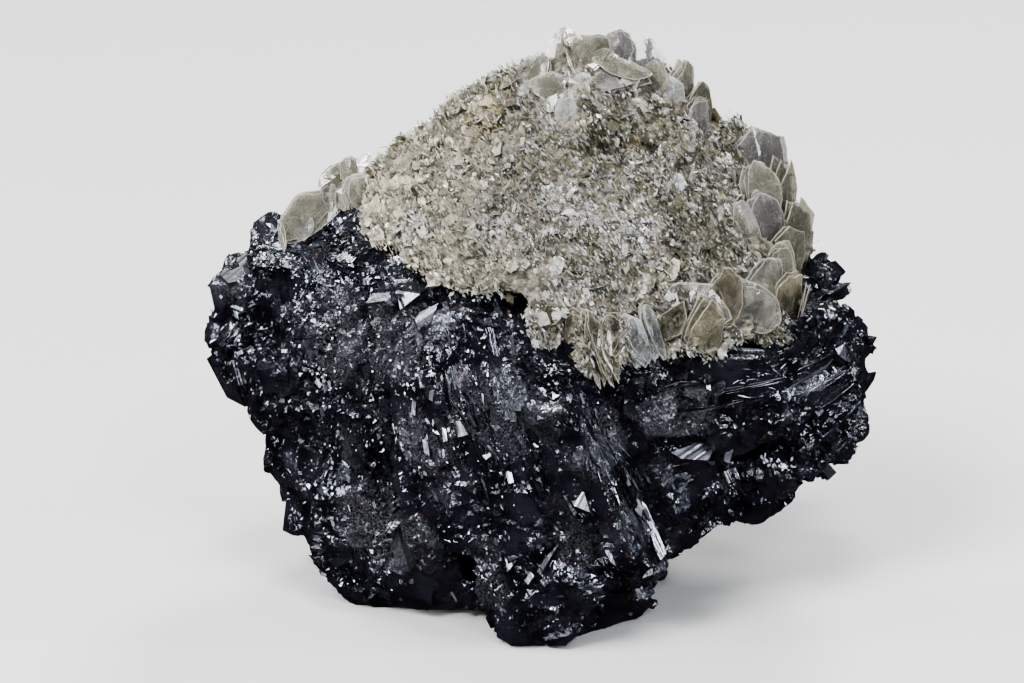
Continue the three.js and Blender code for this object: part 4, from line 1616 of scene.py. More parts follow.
@dataclass(frozen=True)
class RibField:
    """Fine ribs that run side by side over some faces."""

    at: Triple
    reach: float  # how far from the middle the ribs begin
    along: Triple
    fan: float  # how far the ribs' directions spread from one end of the field to the other
    count: int
    length: Pair
    width: Pair
    height: Pair
    # how wide a rib stands at each station along it
    taper: ClassVar[Array] = np.array([0.1, 0.8, 1.0, 0.8, 0.1])
    # its section: how far out and how high each corner is, and how deep it is sunk
    section: ClassVar[tuple[Triple, ...]] = (
        (-0.5, 0, 0.12), (0.5, 0, 0.12), (0.32, 0.75, 0), (0, 1, 0), (-0.32, 0.75, 0),
    )
    steady: ClassVar[float] = 0.55  # how much alike the surface's normals must be along a rib
    close: ClassVar[float] = 3.0  # how far the surface may lie from a straight rib
    astray: ClassVar[float] = 0.03  # how far a rib's direction strays from its neighbours'
    rough: ClassVar[float] = 2.4  # how rough the roughest rib is

    def put_on(self, heap: Heap, skin: Skin, rng: np.random.Generator) -> None:
        """Lays the ribs on a surface and adds them to a heap.

        Args:
            heap: Where they go.
            skin: The surface.
            rng: Where the ribs come from.
        """
        centre = placed(self.at)
        along = unit(np.array(self.along))
        across = unit(np.cross(along, [0.0, -1.0, 0.2]))
        offsets = rng.uniform(-1, 1, self.count)
        slides = rng.uniform(-1, 1, self.count)
        starts = centre + across * (offsets * self.reach)[:, None] + along * (slides * self.reach)[:, None]
        strays = rng.normal(size=starts.shape) * self.astray
        runs = unit(along + across * (offsets * self.fan)[:, None] + strays)
        lengths = rng.uniform(*self.length, self.count)
        stations = len(self.taper)
        shares = np.linspace(-0.5, 0.5, stations)
        path = starts[:, None] + runs[:, None] * (shares[None, :, None] * lengths[:, None, None])
        flat, normals = (found.reshape(path.shape) for found in skin.nearest(path.reshape(-1, 3)))
        steady = (normals * normals[:, 2:3]).sum(-1).min(1) > self.steady
        close = np.linalg.norm(flat - path, axis=-1).max(1) < self.close
        kept = steady & close
        flat, normals, runs = flat[kept], normals[kept], runs[kept]
        beside = unit(np.cross(normals, runs[:, None]))
        width = rng.uniform(*self.width, len(flat))[:, None, None]
        height = rng.uniform(*self.height, len(flat))[:, None, None]
        taper = self.taper[None, :, None]
        rings = [
            flat + beside * width * out + normals * (height * taper * up - sunk)
            for out, up, sunk in self.section
        ]
        points = np.stack(rings, 2).reshape(len(flat), -1, 3)
        clear = above_floor(points)
        facet = rng.random(clear.sum()) * self.rough
        heap.add(points[clear], np.array(tube(stations, len(self.section))), facet=facet, along=runs[clear])


RIB_FIELDS = (
    RibField((-18.8, -2.2, 28.6), 1.5, (0.7, -0.3, -0.65), 0.05, 90, (2, 6), (0.08, 0.2), (0.06, 0.16)),
    RibField((2.6, -13.6, 19), 1.6, PRISM, 0.05, 60, (3, 7), (0.1, 0.3), (0.05, 0.14)),
    RibField((5.2, -12.8, 14), 1.8, PRISM, 0.05, 90, (3, 8), (0.1, 0.32), (0.05, 0.16)),
    RibField((7.6, -12.4, 9.4), 1.6, PRISM, 0.05, 60, (2, 6), (0.1, 0.3), (0.05, 0.14)),
    RibField((-6.4, -12.4, 21.5), 3.2, (0.34, -0.08, -0.93), 0.1, 90, (2, 5), (0.1, 0.3), (0.05, 0.15)),
    RibField((-2.4, -14, 17), 3.2, (0.34, -0.08, -0.93), 0.1, 90, (2, 5), (0.1, 0.3), (0.05, 0.15)),
    RibField((12.1, -8.1, 15.3), 1.6, (0.95, -0.1, 0.28), 0.2, 40, (1.5, 3), (0.12, 0.3), (0.06, 0.16)),
    RibField((15.4, -10.4, 21.4), 3.4, (0.97, 0.1, 0.1), -0.2, 200, (3, 8), (0.08, 0.2), (0.08, 0.22)),
    RibField((20, -5.8, 20), 3.8, (0.86, 0.3, 0.36), -0.35, 280, (3, 8), (0.08, 0.22), (0.1, 0.24)),
    RibField((23.8, -3.4, 17.6), 4, (0.74, 0.34, 0.58), -0.3, 280, (3, 8), (0.08, 0.22), (0.1, 0.24)),
)


GLINTS = (
    Glints((-18.3, -3.6, 26.2), 2.3, 420, (0.07, 0.22), dim=2.6),
    Glints((-18.4, -4.3, 23.4), 2.4, 640, (0.07, 0.22), dim=2.6),
    Glints((-17.6, -4.6, 20.9), 2.2, 560, (0.07, 0.2), dim=2.6),
    Glints((-16, -5.2, 24.8), 2.6, 420, (0.05, 0.13)),
    Glints((-15.4, -5.4, 21.6), 2.6, 320, (0.04, 0.12)),
    Glints((-9.6, -11.2, 24.6), 2.2, 500, (0.04, 0.11)),
    Glints((-12, -9.4, 22.6), 3, 420, (0.05, 0.13), Lamp.PANEL, dim=1),
    Glints((-8.6, -12, 23), 2.8, 300, (0.05, 0.14), Lamp.KEY, 2.6, dim=4),
    Glints((-12.4, -9.2, 25), 2.8, 300, (0.05, 0.14), Lamp.KEY, dim=4),
    Glints((-16.4, -4.4, 27.6), 1.8, 110, (0.05, 0.12), Lamp.KEY, 4, (0.7, -0.3, -0.65)),
    Glints((-19.6, -1.4, 28.8), 1.9, 90, (0.08, 0.2), Lamp.KEY, 1.8, (0.7, -0.3, -0.65)),
    Glints((-15.6, -2, 30), 2.6, 120, (0.06, 0.17), Lamp.TOP),
    Glints((-12.6, -7.4, 28), 2.6, 120, (0.05, 0.15)),
    Glints((-11, -10.4, 23.6), 2.4, 130, (0.06, 0.16), Lamp.LOW_LEFT),
    Glints((-9.2, -12, 24.8), 1.9, 130, (0.06, 0.18)),
    Glints((-10.6, -11, 21), 2.2, 140, (0.04, 0.14), Lamp.KEY, 2.6),
    Glints((-7.1, -12.4, 24.4), 2, 90, (0.06, 0.15), Lamp.LOW_LEFT, 3),
    Glints((-5.4, -13.6, 22.2), 2.4, 120, (0.05, 0.14), Lamp.KEY, 3.2),
    Glints((-3.2, -14, 20.6), 2.4, 140, (0.04, 0.14), Lamp.LOW_RIGHT, 2.6),
    Glints((-8.4, -12.8, 18), 2.8, 180, (0.06, 0.17), Lamp.KEY, 3.4),
    Glints((-9.6, -12, 15.8), 2.2, 150, (0.05, 0.17), Lamp.LOW_LEFT, 2.4),
    Glints((-6, -13.6, 18.8), 2.2, 120, (0.06, 0.17), Lamp.KEY, 3),
    Glints((-1.6, -14, 17.4), 2.6, 150, (0.04, 0.13), Lamp.KEY, 2),
    Glints((-3.4, -13.9, 14), 2.6, 140, (0.04, 0.14), Lamp.LOW_LEFT, 2.4),
    Glints((0.6, -14.2, 14), 2.6, 140, (0.04, 0.14), Lamp.LOW_RIGHT, 1.8),
    Glints((1.8, -13.8, 19.4), 2, 90, (0.04, 0.12), Lamp.FILL, 3, PRISM),
    Glints((3.4, -13.2, 12), 1.8, 80, (0.04, 0.14), Lamp.LOW_RIGHT, 2.6, PRISM),
    Glints((3.4, -12.8, 20), 2, 130, (0.04, 0.12), Lamp.LOW_SIDE, 11, PRISM, 0.08, 2),
    Glints((4.6, -12.6, 16.6), 2.2, 190, (0.04, 0.13), Lamp.LOW_SIDE, 12, PRISM, 0.08, 2),
    Glints((6, -12.4, 13.2), 2.2, 190, (0.04, 0.13), Lamp.LOW_SIDE, 12, PRISM, 0.08, 2),
    Glints((7.4, -12.4, 9.8), 2, 120, (0.04, 0.12), Lamp.LOW_SIDE, 11, PRISM, 0.08, 2),
    Glints((5.2, -12.6, 15), 3.4, 60, (0.04, 0.1), Lamp.FILL, 12, PRISM, 0.08, 3),
    Glints((4, -12.8, 18.4), 3, 260, (0.03, 0.09), Lamp.FILL, 4, PRISM, 0.1, 4),
    Glints((-12.8, -6.8, 15.6), 2.6, 160, (0.05, 0.17), Lamp.KEY, 2.6),
    Glints((-15.4, -6, 16), 2.4, 150, (0.06, 0.19), Lamp.LOW_LEFT, 2.4),
    Glints((-16.6, -5.2, 13.4), 2.6, 120, (0.06, 0.17), Lamp.KEY, 2.4),
    Glints((-14.2, -6.4, 10.6), 3, 150, (0.06, 0.17), Lamp.LOW_LEFT, 2.4),
    Glints((-15.6, -5.4, 6.4), 3.2, 240, (0.06, 0.2), Lamp.LOW_LEFT, 2.4),
    Glints((-12.2, -6.8, 4.4), 2.8, 180, (0.06, 0.19), Lamp.KEY, 2.4),
    Glints((-19.6, -0.6, 10.4), 2.8, 90, (0.07, 0.21), Lamp.LOW_LEFT, 2.4),
    Glints((-21.6, 1.6, 13.6), 2.4, 80, (0.07, 0.22), Lamp.KEY, 2.2),
    Glints((-23, 1.4, 18.4), 2.6, 90, (0.07, 0.22), Lamp.KEY, 2.2),
    Glints((-24.6, 1.8, 23), 2.6, 70, (0.1, 0.26), Lamp.KEY, 1.8),
    Glints((-23.4, 2.6, 28.2), 2.6, 90, (0.08, 0.22), Lamp.KEY),
    Glints((-21.6, 1.2, 30.4), 2.4, 90, (0.06, 0.16), Lamp.KEY),
    Glints((-4.2, -13, 9), 3, 200, (0.05, 0.17), Lamp.LOW_LEFT, 2.4),
    Glints((-5.6, -12.6, 6.6), 2.4, 120, (0.05, 0.17), Lamp.KEY, 2.4),
    Glints((-0.4, -14, 8.6), 2.2, 90, (0.05, 0.17), Lamp.LOW_LEFT, 2, (0.7, 0, 0.7)),
    Glints((-3, -13.2, 3.6), 2.6, 160, (0.05, 0.15), Lamp.LOW_LEFT, 2.4),
    Glints((2, -14.2, 4.4), 3, 90, (0.04, 0.13), Lamp.LOW_RIGHT, 2.4),
    Glints((6.2, -13.4, 4.4), 2.6, 60, (0.04, 0.13), Lamp.LOW_RIGHT, 2.4),
    Glints((9.2, -10.8, 19.6), 2.4, 150, (0.05, 0.12), Lamp.FILL),
    Glints((11.4, -10, 18.6), 2, 110, (0.05, 0.14), Lamp.LOW_RIGHT),
    Glints((12.6, -9, 16.4), 1.5, 60, (0.06, 0.16), Lamp.FILL),
    Glints((17.6, -8.6, 18.4), 2.6, 70, (0.06, 0.15), Lamp.FILL, 2.4, (0.9, 0.2, 0.3)),
    Glints((15.6, -7.4, 17), 2.4, 80, (0.06, 0.15), Lamp.LOW_RIGHT),
    Glints((16.8, -9.4, 21), 2.8, 260, (0.02, 0.06), Lamp.FILL, 12, (0.97, 0.1, 0.1), 0.07, 2),
    Glints((20.4, -6.4, 21.2), 3.2, 320, (0.02, 0.05), Lamp.FILL, 13, (0.86, 0.3, 0.36), 0.07, 2),
    Glints((23.4, -3.8, 18.6), 3.2, 280, (0.02, 0.06), Lamp.LOW_RIGHT, 12, (0.74, 0.34, 0.58), 0.07, 2),
    Glints((25.4, -2, 19.4), 2.8, 160, (0.03, 0.08), Lamp.PANEL, 9, (0.6, 0.3, 0.74), 0.07, 1.4),
    Glints((22.6, -1.6, 25.6), 2, 70, (0.08, 0.2), Lamp.FILL),
    Glints((24.4, 1.4, 24.2), 2, 50, (0.08, 0.2), Lamp.FILL),
    Glints((20.6, -5.6, 14.6), 2.2, 50, (0.07, 0.18), Lamp.FILL),
)
FACETS = (
    Facet((-10.5, -10.6, 28), ((-0.4, -0.9), (1.1, 0.3), (-0.7, 0.6)), Lamp.KEY, 35, 0.5, 3, 0.1),
    Facet((-9.1, -10.5, 26.3), ((-0.3, 0.5), (-0.9, -0.3), (-0.4, -1.1), (0.5, -0.3), (1.1, 1.2)),
        Lamp.KEY, 35, 0.3, 3, 0.13, clear=0.85),
    Facet((-10.3, -11.4, 25.5), ((-0.9, 0.2), (-0.2, -1.2), (0.9, -0.2), (0.4, 0.8)), Lamp.LOW_LEFT, 60,
        0.24, 3.4, 0.16),
    Facet((-9, -12.4, 16.8), ((-0.1, -0.7), (0.3, -0.9), (0.1, 0.8), (-0.3, 0.7)), Lamp.KEY),
    Facet((-6.4, -13.9, 18.6), ((-0.1, -0.7), (0.7, -0.5), (0, 0.7), (-0.5, 0.6)), Lamp.KEY, -75, 0.16,
        2.2, 0.2),
    Facet((-7.5, -13.9, 18.1), ((-0.1, -0.6), (0.2, -0.5), (0.1, 0.5), (-0.2, 0.6)), Lamp.KEY),
    Facet((-10.2, -12.1, 15.7), ((0, -0.5), (0.4, -0.3), (0, 0.4), (-0.4, 0.4)), Lamp.LOW_LEFT),
    Facet((-9.9, -11.7, 19.6), ((-0.2, -0.6), (0.1, -0.7), (0.2, 0.7), (-0.1, 0.7)), Lamp.KEY),
    Facet((-4.6, -13.8, 21.1), ((-0.1, -0.5), (0.1, -0.6), (0.1, 0.5), (-0.2, 0.6)), Lamp.KEY),
    Facet((-8.5, -13.7, 21.3), ((-0.2, -0.4), (0.1, -0.6), (0.2, 0.3), (-0.1, 0.6)), Lamp.LOW_LEFT),
    Facet((-2.6, -14.1, 14.9), ((0, -0.7), (0.4, -0.6), (0.1, 0.7), (-0.4, 0.7)), Lamp.KEY, -80, 0.25, 2.4),
    Facet((2.2, -14, 12.3), ((0.3, -0.9), (0.5, -0.6), (-0.2, 0.8), (-0.6, 0.8)), Lamp.LOW_RIGHT, 50,
        0.14, 2.6, 0.2),
    Facet((2.7, -14.2, 12.9), ((-1, 0.8), (-0.25, -0.5), (0.95, -1), (0.5, 0.55)), Lamp.KEY, 62, 0.13, 3,
        0.22),
    Facet((5.1, -14, 8.4), ((0.2, -0.7), (0.6, -1), (-0.1, 0.9), (-0.6, 0.8)), Lamp.KEY, 80, 0.2, 3, 0.2),
    Facet((0.4, -14, 7.9), ((-0.2, 0.1), (-0.8, -1), (-0.5, -1.1), (0.6, 0.7), (0.9, 1.2)), Lamp.LOW_LEFT),
    Facet((6.5, -12, 13.8), ((0.1, -0.6), (0.4, -0.5), (-0.1, 0.6), (-0.4, 0.5)), Lamp.FILL),
    Facet((7.6, -9.1, 12.9), ((0.2, -0.8), (0.4, -0.8), (-0.2, 0.8), (-0.4, 0.8)), Lamp.FILL),
    Facet((8.3, -7.7, 12.2), ((0, -0.2), (0.3, -0.4), (0.1, 0.2), (-0.3, 0.5)), Lamp.FILL),
    Facet((7.4, -12, 11.6), ((-0.3, -0.3), (0.3, -0.9), (0.4, -0.2), (0, 0.7), (-0.4, 0.6)), Lamp.FILL),
    Facet((8.7, -11.9, 9.2), ((0.1, -1.2), (0.5, -2.1), (1, -1.5), (-0.6, 2.2), (-1, 2.6)), Lamp.FILL,
        -66, 0.24, 0.8, 0.05, clear=0.95),
    Facet((8.1, -12.1, 9.6), ((0.2, -1), (0.3, -0.9), (-0.1, 1), (-0.4, 0.9)), Lamp.LOW_RIGHT),
    Facet((8.3, -12.9, 6.3), ((0.3, -0.1), (0.3, 0.4), (-0.2, 0.1), (-0.5, -0.4)), Lamp.KEY),
    Facet((12, -8.3, 14.9), ((-1.9, -0.25), (-1.1, -0.75), (1, -0.9), (1.9, 0.9), (0.9, 0.75)), Lamp.FILL,
        34, 0.16, 2.4, 0.11),
    Facet((14.6, -7.6, 14.2), ((-0.3, -0.5), (0.1, -0.7), (0.5, 0.6), (-0.2, 0.4)), Lamp.FILL, 24, 0.16,
        3.2, 0.2),
    Facet((13.6, -10.2, 20.8),
        ((-0.7, -0.6), (-0.1, -0.9), (0.5, -0.5), (0.6, 0.2), (0.2, 0.8), (-0.4, 0.8)), Lamp.SKY, 60, 4,
        0.6, 0, (-0.17, 0, 0)),
    Facet((12.8, -10.6, 21), ((-0.1, -0.3), (0.2, -0.5), (0.1, 0.7), (-0.2, 0.1)), Lamp.KEY, -80, 0.3, 1),
    Facet((-24.4, 1.6, 26.4), ((-0.6, -0.9), (1.3, -0.5), (0.9, 1.6), (-1.3, -0.2)), Lamp.SKY, 40, 0.14,
        3, 0.3, (-0.15, 0, 0)),
    Facet((22, -4.5, 16.7), ((-0.1, -0.4), (0.3, 0), (0.2, 0.4), (-0.4, 0)), Lamp.FILL),
    Facet((23.3, -4.2, 16.2), ((0, -0.2), (0.2, 0), (0, 0.2), (-0.2, 0)), Lamp.FILL),
    Facet((-17.6, -4.6, 19.1), ((-0.3, 0), (0.1, -0.4), (0.3, -0.1), (-0.2, 0.5)), Lamp.KEY),
    Facet((-16.9, -5.2, 19.1), ((-0.2, -0.6), (0.3, -0.1), (0.3, 0.5), (-0.4, 0.2)), Lamp.LOW_LEFT),
    Facet((-20.2, -0.9, 27.7), ((-0.2, -0.2), (0.2, -0.3), (0.2, 0.3), (-0.3, 0.3)), Lamp.KEY),
    Facet((-24.4, 1.5, 22.8), ((-0.1, -0.2), (0.3, -0.4), (0.1, 0.2), (-0.3, 0.4)), Lamp.KEY),
    Facet((-10.4, -7.1, 3.3), ((-0.1, -0.2), (0.2, -0.2), (0.2, 0.2), (-0.2, 0.2)), Lamp.LOW_LEFT),
    Facet((-7, -6.7, 1.9), ((0.2, -0.5), (0.3, -0.4), (-0.1, 0.4), (-0.4, 0.5)), Lamp.LOW_LEFT),
    Facet((-2.6, -13.8, 7.6), ((-0.1, -0.8), (0.3, -0.3), (0.1, 0.8), (-0.3, 0.4)), Lamp.KEY),
    Facet((-1, -14.2, 6.4), ((-0.1, -0.5), (0.4, 0.2), (0.1, 0.5), (-0.4, -0.2)), Lamp.KEY),
)


# --- The mica ------------------------------------------------------------------------------------


class Cast(Enum):
    """The colours that mica takes here."""

    CREAM = (0.62, 0.58, 0.46)
    SILVER = (0.5, 0.5, 0.47)
    OLIVE = (0.2, 0.19, 0.13)
    WHITE = (0.8, 0.8, 0.79)
    RUSTY = (0.64, 0.5, 0.24)
    SMOKE = (0.14, 0.13, 0.11)
    CLEAR = (0.7, 0.69, 0.64)
    HAZE = (0.3, 0.29, 0.28)
    MOSS = (0.3, 0.292, 0.215)
    BONE = (0.46, 0.445, 0.36)
    TEA = (0.62, 0.585, 0.47)


BRIGHTEST = 0.95  # the most that a flake's or a sheet's colour may reach


@dataclass(frozen=True)
class Flakes:
    """Flakes of one size, laid one way, over one part of the crust."""

    tries: int
    radius: Pair
    stand: float  # 0 lies on the surface, 1 stands on edge
    sides: int
    casts: tuple[tuple[Cast, float], ...]
    patches: tuple[Patch, ...] = ()
    elsewhere: float = 0.0  # how many lie outside the patches
    grain: Optional[Triple] = None  # a direction that the flakes hold
    narrow: Pair = (0.6, 1.0)
    lift: Pair = (-0.15, 0.35)
    thickness: ClassVar[Pair] = (0.04, 0.1)
    unrest: ClassVar[float] = 0.45  # how far a flake leans from the others of its bundle
    astray: ClassVar[float] = 0.25  # how far it leans from its grain
    askew: ClassVar[float] = 0.3  # how far its edge is turned, and each corner round it, in radians
    reach: ClassVar[Pair] = (0.65, 1.15)  # how far out its corners are, as a share of its radius
    warp: ClassVar[float] = 0.08  # how far they are bent out of its plane, as a share too
    smallness: ClassVar[float] = 2.0  # 1 gives every radius alike, more gives more small ones


@dataclass(frozen=True)
class Book:
    """A book of mica sheets, which lie on each other like the pages of a book."""

    at: Triple
    faces: Triple
    size: Pair  # its length and width
    long: Triple = (0, 0, 1)  # the way that its length runs
    sheets: int = 5
    curl: float = 0.1
    cast: Cast = Cast.CLEAR
    taper: float = 0.0  # how much narrower it is at the far end of its length
    fan: float = 0.0  # degrees from one sheet to the next, about the near end
    gap: float = 0.16  # from one sheet to the next
    probe: ClassVar[float] = 6.0  # how far from its middle the surface that it grows on is looked for

    @property
    def ways(self) -> tuple[Array, Array, Array]:
        """The way that its sheets face, the way that its length runs, and the way across it."""
        faces = unit(np.array(self.faces))
        up = square_to(faces, np.array(self.long))
        return faces, up, np.cross(up, faces)

    def seated(self, skin: Skin, clear: float, lean: float) -> "Book":
        """Leans the book out of a surface, and moves it out until its middle is clear of it.

        Args:
            skin: The surface that it grows on.
            clear: How far the middle of its front sheet stands out.
            lean: How far its far end leans out.

        Returns:
            The book in its place.
        """
        faces, up, _ = self.ways
        faces = unit(faces - up * lean)
        centre = placed(self.at)
        hit = skin.tree.ray_cast(Vector(centre + faces * self.probe), Vector(-faces), self.probe * 2)[0]
        out = 0.0 if hit is None else float((np.array(hit) - centre) @ faces) + clear
        return replace(self, at=tuple(np.array(self.at) + faces * max(out, 0.0)), faces=tuple(faces))


def sheet_form(rim: int, rings: int) -> Array:
    """The triangles of a sheet with two faces, a middle and rings of corners.

    Args:
        rim: How many corners a ring has.
        rings: How many rings a face has.

    Returns:
        The triangles of the closed sheet. The upper face's corners come first: its middle, then ring by
        ring; the lower face's follow in the same order.
    """
    size = 1 + rim * rings
    faces = []
    for face, base in ((1, 0), (-1, size)):
        fan = []
        for i in range(rim):
            j = (i + 1) % rim
            fan.append((base, base + 1 + i, base + 1 + j))
            for ring in range(rings - 1):
                a, b = base + 1 + ring * rim + i, base + 1 + ring * rim + j
                fan += [(a, a + rim, b + rim), (a, b + rim, b)]
        faces += fan if face > 0 else [f[::-1] for f in fan]
    top, low = size - rim, 2 * size - rim
    for i in range(rim):
        j = (i + 1) % rim
        faces += [(top + i, low + i, low + j), (top + i, low + j, top + j)]
    return np.array(faces)


@dataclass
class SheetMaker:
    """Makes thin six-sided sheets, folded along the middle and stacked in books."""

    rng: np.random.Generator
    heap: Heap = field(default_factory=Heap)
    per_side: int = 4  # the corners along each of a sheet's six sides
    rings: tuple[float, ...] = (0.5, 0.94, 1.0)
    pale: tuple[float, ...] = (0.0, 0.0, 0.1, 1.0)  # how pale the middle and each ring are
    corners: ClassVar[tuple[float, ...]] = (90, 150, 210, 270, 330, 390)  # in degrees
    loose: ClassVar[tuple[float, ...]] = (0.3, 1, 1, 0.3, 1, 1)  # how far each corner may wander
    grown: ClassVar[Pair] = (1.2, 1.04)  # how much wider and longer a sheet is than its corners' circle
    thickness: ClassVar[Pair] = (0.04, 0.08)
    folds: ClassVar[Pair] = (0.7, 1.3)  # how much more or less than its curl a book is folded
    scales: ClassVar[Pair] = (0.86, 1.05)  # how large each sheet is beside the book's outline
    tones: ClassVar[Pair] = (0.85, 1.12)  # how bright each sheet is beside the book's cast
    ragged: ClassVar[float] = 0.024  # how far a sheet's corners stray from the outline
    askew: ClassVar[float] = 0.06  # how far a sheet is turned, in radians
    slipped: ClassVar[float] = 0.07  # how far it slips, as a share of half the book's width
    leaning: ClassVar[float] = 0.05  # how far it leans
    hollow: ClassVar[float] = 0.3  # how far it bends along its length, as a share of its fold

    def _outline(self) -> Array:
        """The corners of a book's sheets, worn round by up to two passes.

        Returns:
            The corners, for a length and width of about 2.
        """
        rng = self.rng
        angles = np.radians(self.corners) + rng.uniform(-0.36, 0.36, 6) * self.loose
        tips = np.stack([np.cos(angles), np.sin(angles)], 1) * rng.uniform(0.72, 1.1, (6, 1))
        share = np.arange(self.per_side)[None, :, None] / self.per_side
        outline = (tips[:, None] * (1 - share) + np.roll(tips, -1, 0)[:, None] * share).reshape(-1, 2)
        for _ in range(rng.integers(0, 3)):
            outline = (np.roll(outline, 1, 0) + 2 * outline + np.roll(outline, -1, 0)) / 4
        return outline * self.grown

    def add(self, book: Book) -> None:
        """Adds a book's sheets to the heap.

        Args:
            book: The book.
        """
        rng = self.rng
        faces, up, side = book.ways
        centre = placed(book.at)
        long, wide = (span / 2 for span in book.size)
        outline = self._outline()
        rim = len(outline)
        fold = book.curl * rng.uniform(*self.folds)
        for number in range(book.sheets):
            back = book.sheets - 1 - number
            shape = outline * rng.uniform(*self.scales) + rng.normal(size=(rim, 2)) * self.ragged
            turn = math.radians(book.fan * (number - book.sheets / 2)) + rng.normal() * self.askew
            slip = rng.normal(size=2) * self.slipped * wide
            lean = rng.normal(size=2) * self.leaning
            rows = []
            for ring in (0.0, *self.rings):
                x, y = (shape * ring if ring else np.zeros((1, 2))).T
                x = x * wide * (1 - book.taper * y)
                y = (y + 1) * long
                x, y = x * math.cos(turn) - y * math.sin(turn), x * math.sin(turn) + y * math.cos(turn)
                y = y - long
                bend = -fold * np.abs(x) - self.hollow * fold * (y / long) ** 2 * long
                z = -back * book.gap + bend + lean[0] * x + lean[1] * y
                rows.append(
                    centre + np.outer(x + slip[0], side) + np.outer(y + slip[1], up) + np.outer(z, faces)
                )
            upper = np.concatenate(rows)
            points = np.concatenate([upper, upper - faces * rng.uniform(*self.thickness)])[None]
            hue = np.clip(np.array(book.cast.value) * rng.uniform(*self.tones), 0, BRIGHTEST)[None]
            rims = np.tile(np.repeat(self.pale, [1] + [rim] * len(self.rings)), 2)[None, :, None]
            self.heap.add(points, sheet_form(rim, len(self.rings)), hue=hue, rim=rims)


def bound(name: str, books: tuple[Book, ...], material: bpy.types.Material, seed: Seed) -> bpy.types.Object:
    """Makes one piece of several books.

    Args:
        name: The piece's name.
        books: The books.
        material: Their finish.
        seed: Where their differences come from.

    Returns:
        The piece.
    """
    maker = SheetMaker(np.random.default_rng(seed))
    for book in books:
        maker.add(book)
    return maker.heap.built(name, material, smooth=12)


# the large sheets at the right, the hindmost first
RIGHT_BOOKS = (
    Book((17.2, 3.6, 34.8), (0.4, -0.8, 0.45), (6.4, 5.6), (-0.2, 0.3, 0.9), 3, 0.3, Cast.HAZE, gap=0.3),
    Book((18.2, 2.4, 31.8), (0.75, -0.6, 0.25), (9, 4.6), (-0.4, 0.2, 0.9), 3, 0.2, Cast.MOSS),
    Book((20, 0.8, 29.2), (0.66, -0.72, 0.2), (9, 4), (-0.48, 0.1, 0.88), 4, 0.16, Cast.MOSS),
    Book((16.4, 0.6, 33.2), (0.35, -0.85, 0.4), (6.6, 3), (-0.38, 0.3, 0.85), 4, 0.2, Cast.BONE),
    Book((17.4, -1.2, 30.8), (0.4, -0.86, 0.3), (6.6, 3.6), (-0.38, 0.2, 0.9), 4, 0.22, Cast.HAZE),
    Book((19.4, -0.8, 28.6), (0.55, -0.8, 0.15), (7.6, 3.2), (-0.42, 0.1, 0.92), 4, 0.16, Cast.MOSS),
    Book((18.2, -2.6, 28.4), (0.25, -0.95, 0.2), (5.6, 2.6), (-0.35, 0.1, 0.95), 4, 0.16, Cast.BONE),
    Book((15.8, -2.4, 31.4), (0.2, -0.88, 0.44), (4.6, 2), (-0.4, 0.4, 0.8), 4, 0.16, Cast.BONE),
)
# the rosettes along the lower rim
ROSETTES = (
    Book((11.2, -12, 27.2), (-0.1, -0.88, 0.46), (5.4, 5.4), (-0.3, 0.4, 0.85), 3, 0.22),
    Book((12.9, -12.2, 26), (0.45, -0.88, 0.15), (5.8, 3.8), (-0.25, 0.1, 0.95), 3, 0.2, Cast.TEA),
    Book((9.8, -12.6, 26.8), (-0.35, -0.8, 0.48), (2.2, 4.2), (-0.7, 0.1, 0.6), 2, 0.2, Cast.CREAM),
    Book((14, -11, 28), (0.1, -0.95, 0.3), (4.8, 3.2), (-0.1, 0.3, 0.95), 3, 0.18, Cast.TEA),
    Book((16.2, -9.8, 27), (0.15, -0.96, 0.25), (5.2, 4), (-0.15, 0.2, 0.95), 3, 0.24),
    Book((17.4, -8.4, 28.2), (0.5, -0.8, 0.35), (5, 4.6), (-0.4, 0.3, 0.85), 3, 0.2),
    Book((19.4, -6.6, 26.6), (0.7, -0.65, 0.2), (5.2, 3.6), (-0.3, 0.1, 0.9), 3, 0.16, Cast.TEA),
    Book((20.6, -5.6, 25.8), (0.97, -0.2, 0.1), (4.2, 1.2), (-0.3, 0, 0.95), 3, 0.05, Cast.CREAM),
)
# the fans that hang over the rim, narrow at their lower ends
FANS = (
    Book((4.3, -14.9, 25.3), (0.6, -0.78, 0.1), (5.8, 1.4), (0.2, 0, -0.97), 7, 0.03, Cast.CREAM, 0.35,
        1.6, 0.13),
    Book((5, -15.1, 25.2), (0.3, -0.93, 0.1), (6, 1.2), (0.16, 0, -0.97), 6, 0.06, Cast.CREAM, 0.4, 1.8,
        0.13),
    Book((5.4, -14.2, 26.2), (-0.2, -0.95, 0.2), (4.4, 1.7), (0.1, 0, -0.97), 3, 0.1, Cast.TEA, 0.3, 2),
    Book((7.4, -14.5, 26), (0.4, -0.9, 0.15), (5.4, 1.8), (0.34, 0, -0.94), 7, 0.06, Cast.WHITE, 0.5, 2.2,
        0.13),
    Book((8.6, -14, 26.2), (0.6, -0.78, 0.15), (5, 1.2), (0.3, 0, -0.95), 6, 0.06, Cast.WHITE, 0.4, 2,
        0.13),
    Book((2.2, -13.8, 26.7), (-0.6, -0.8, 0.05), (3.6, 2.2), (0.05, 0, -0.97), 5, 0.14, Cast.CREAM, 0.3, 3),
    Book((0.8, -13, 27.4), (-0.4, -0.9, 0.1), (2.2, 1.6), (0, -0.2, -0.95), 4, 0.14, Cast.CREAM, 0.2, 3),
)
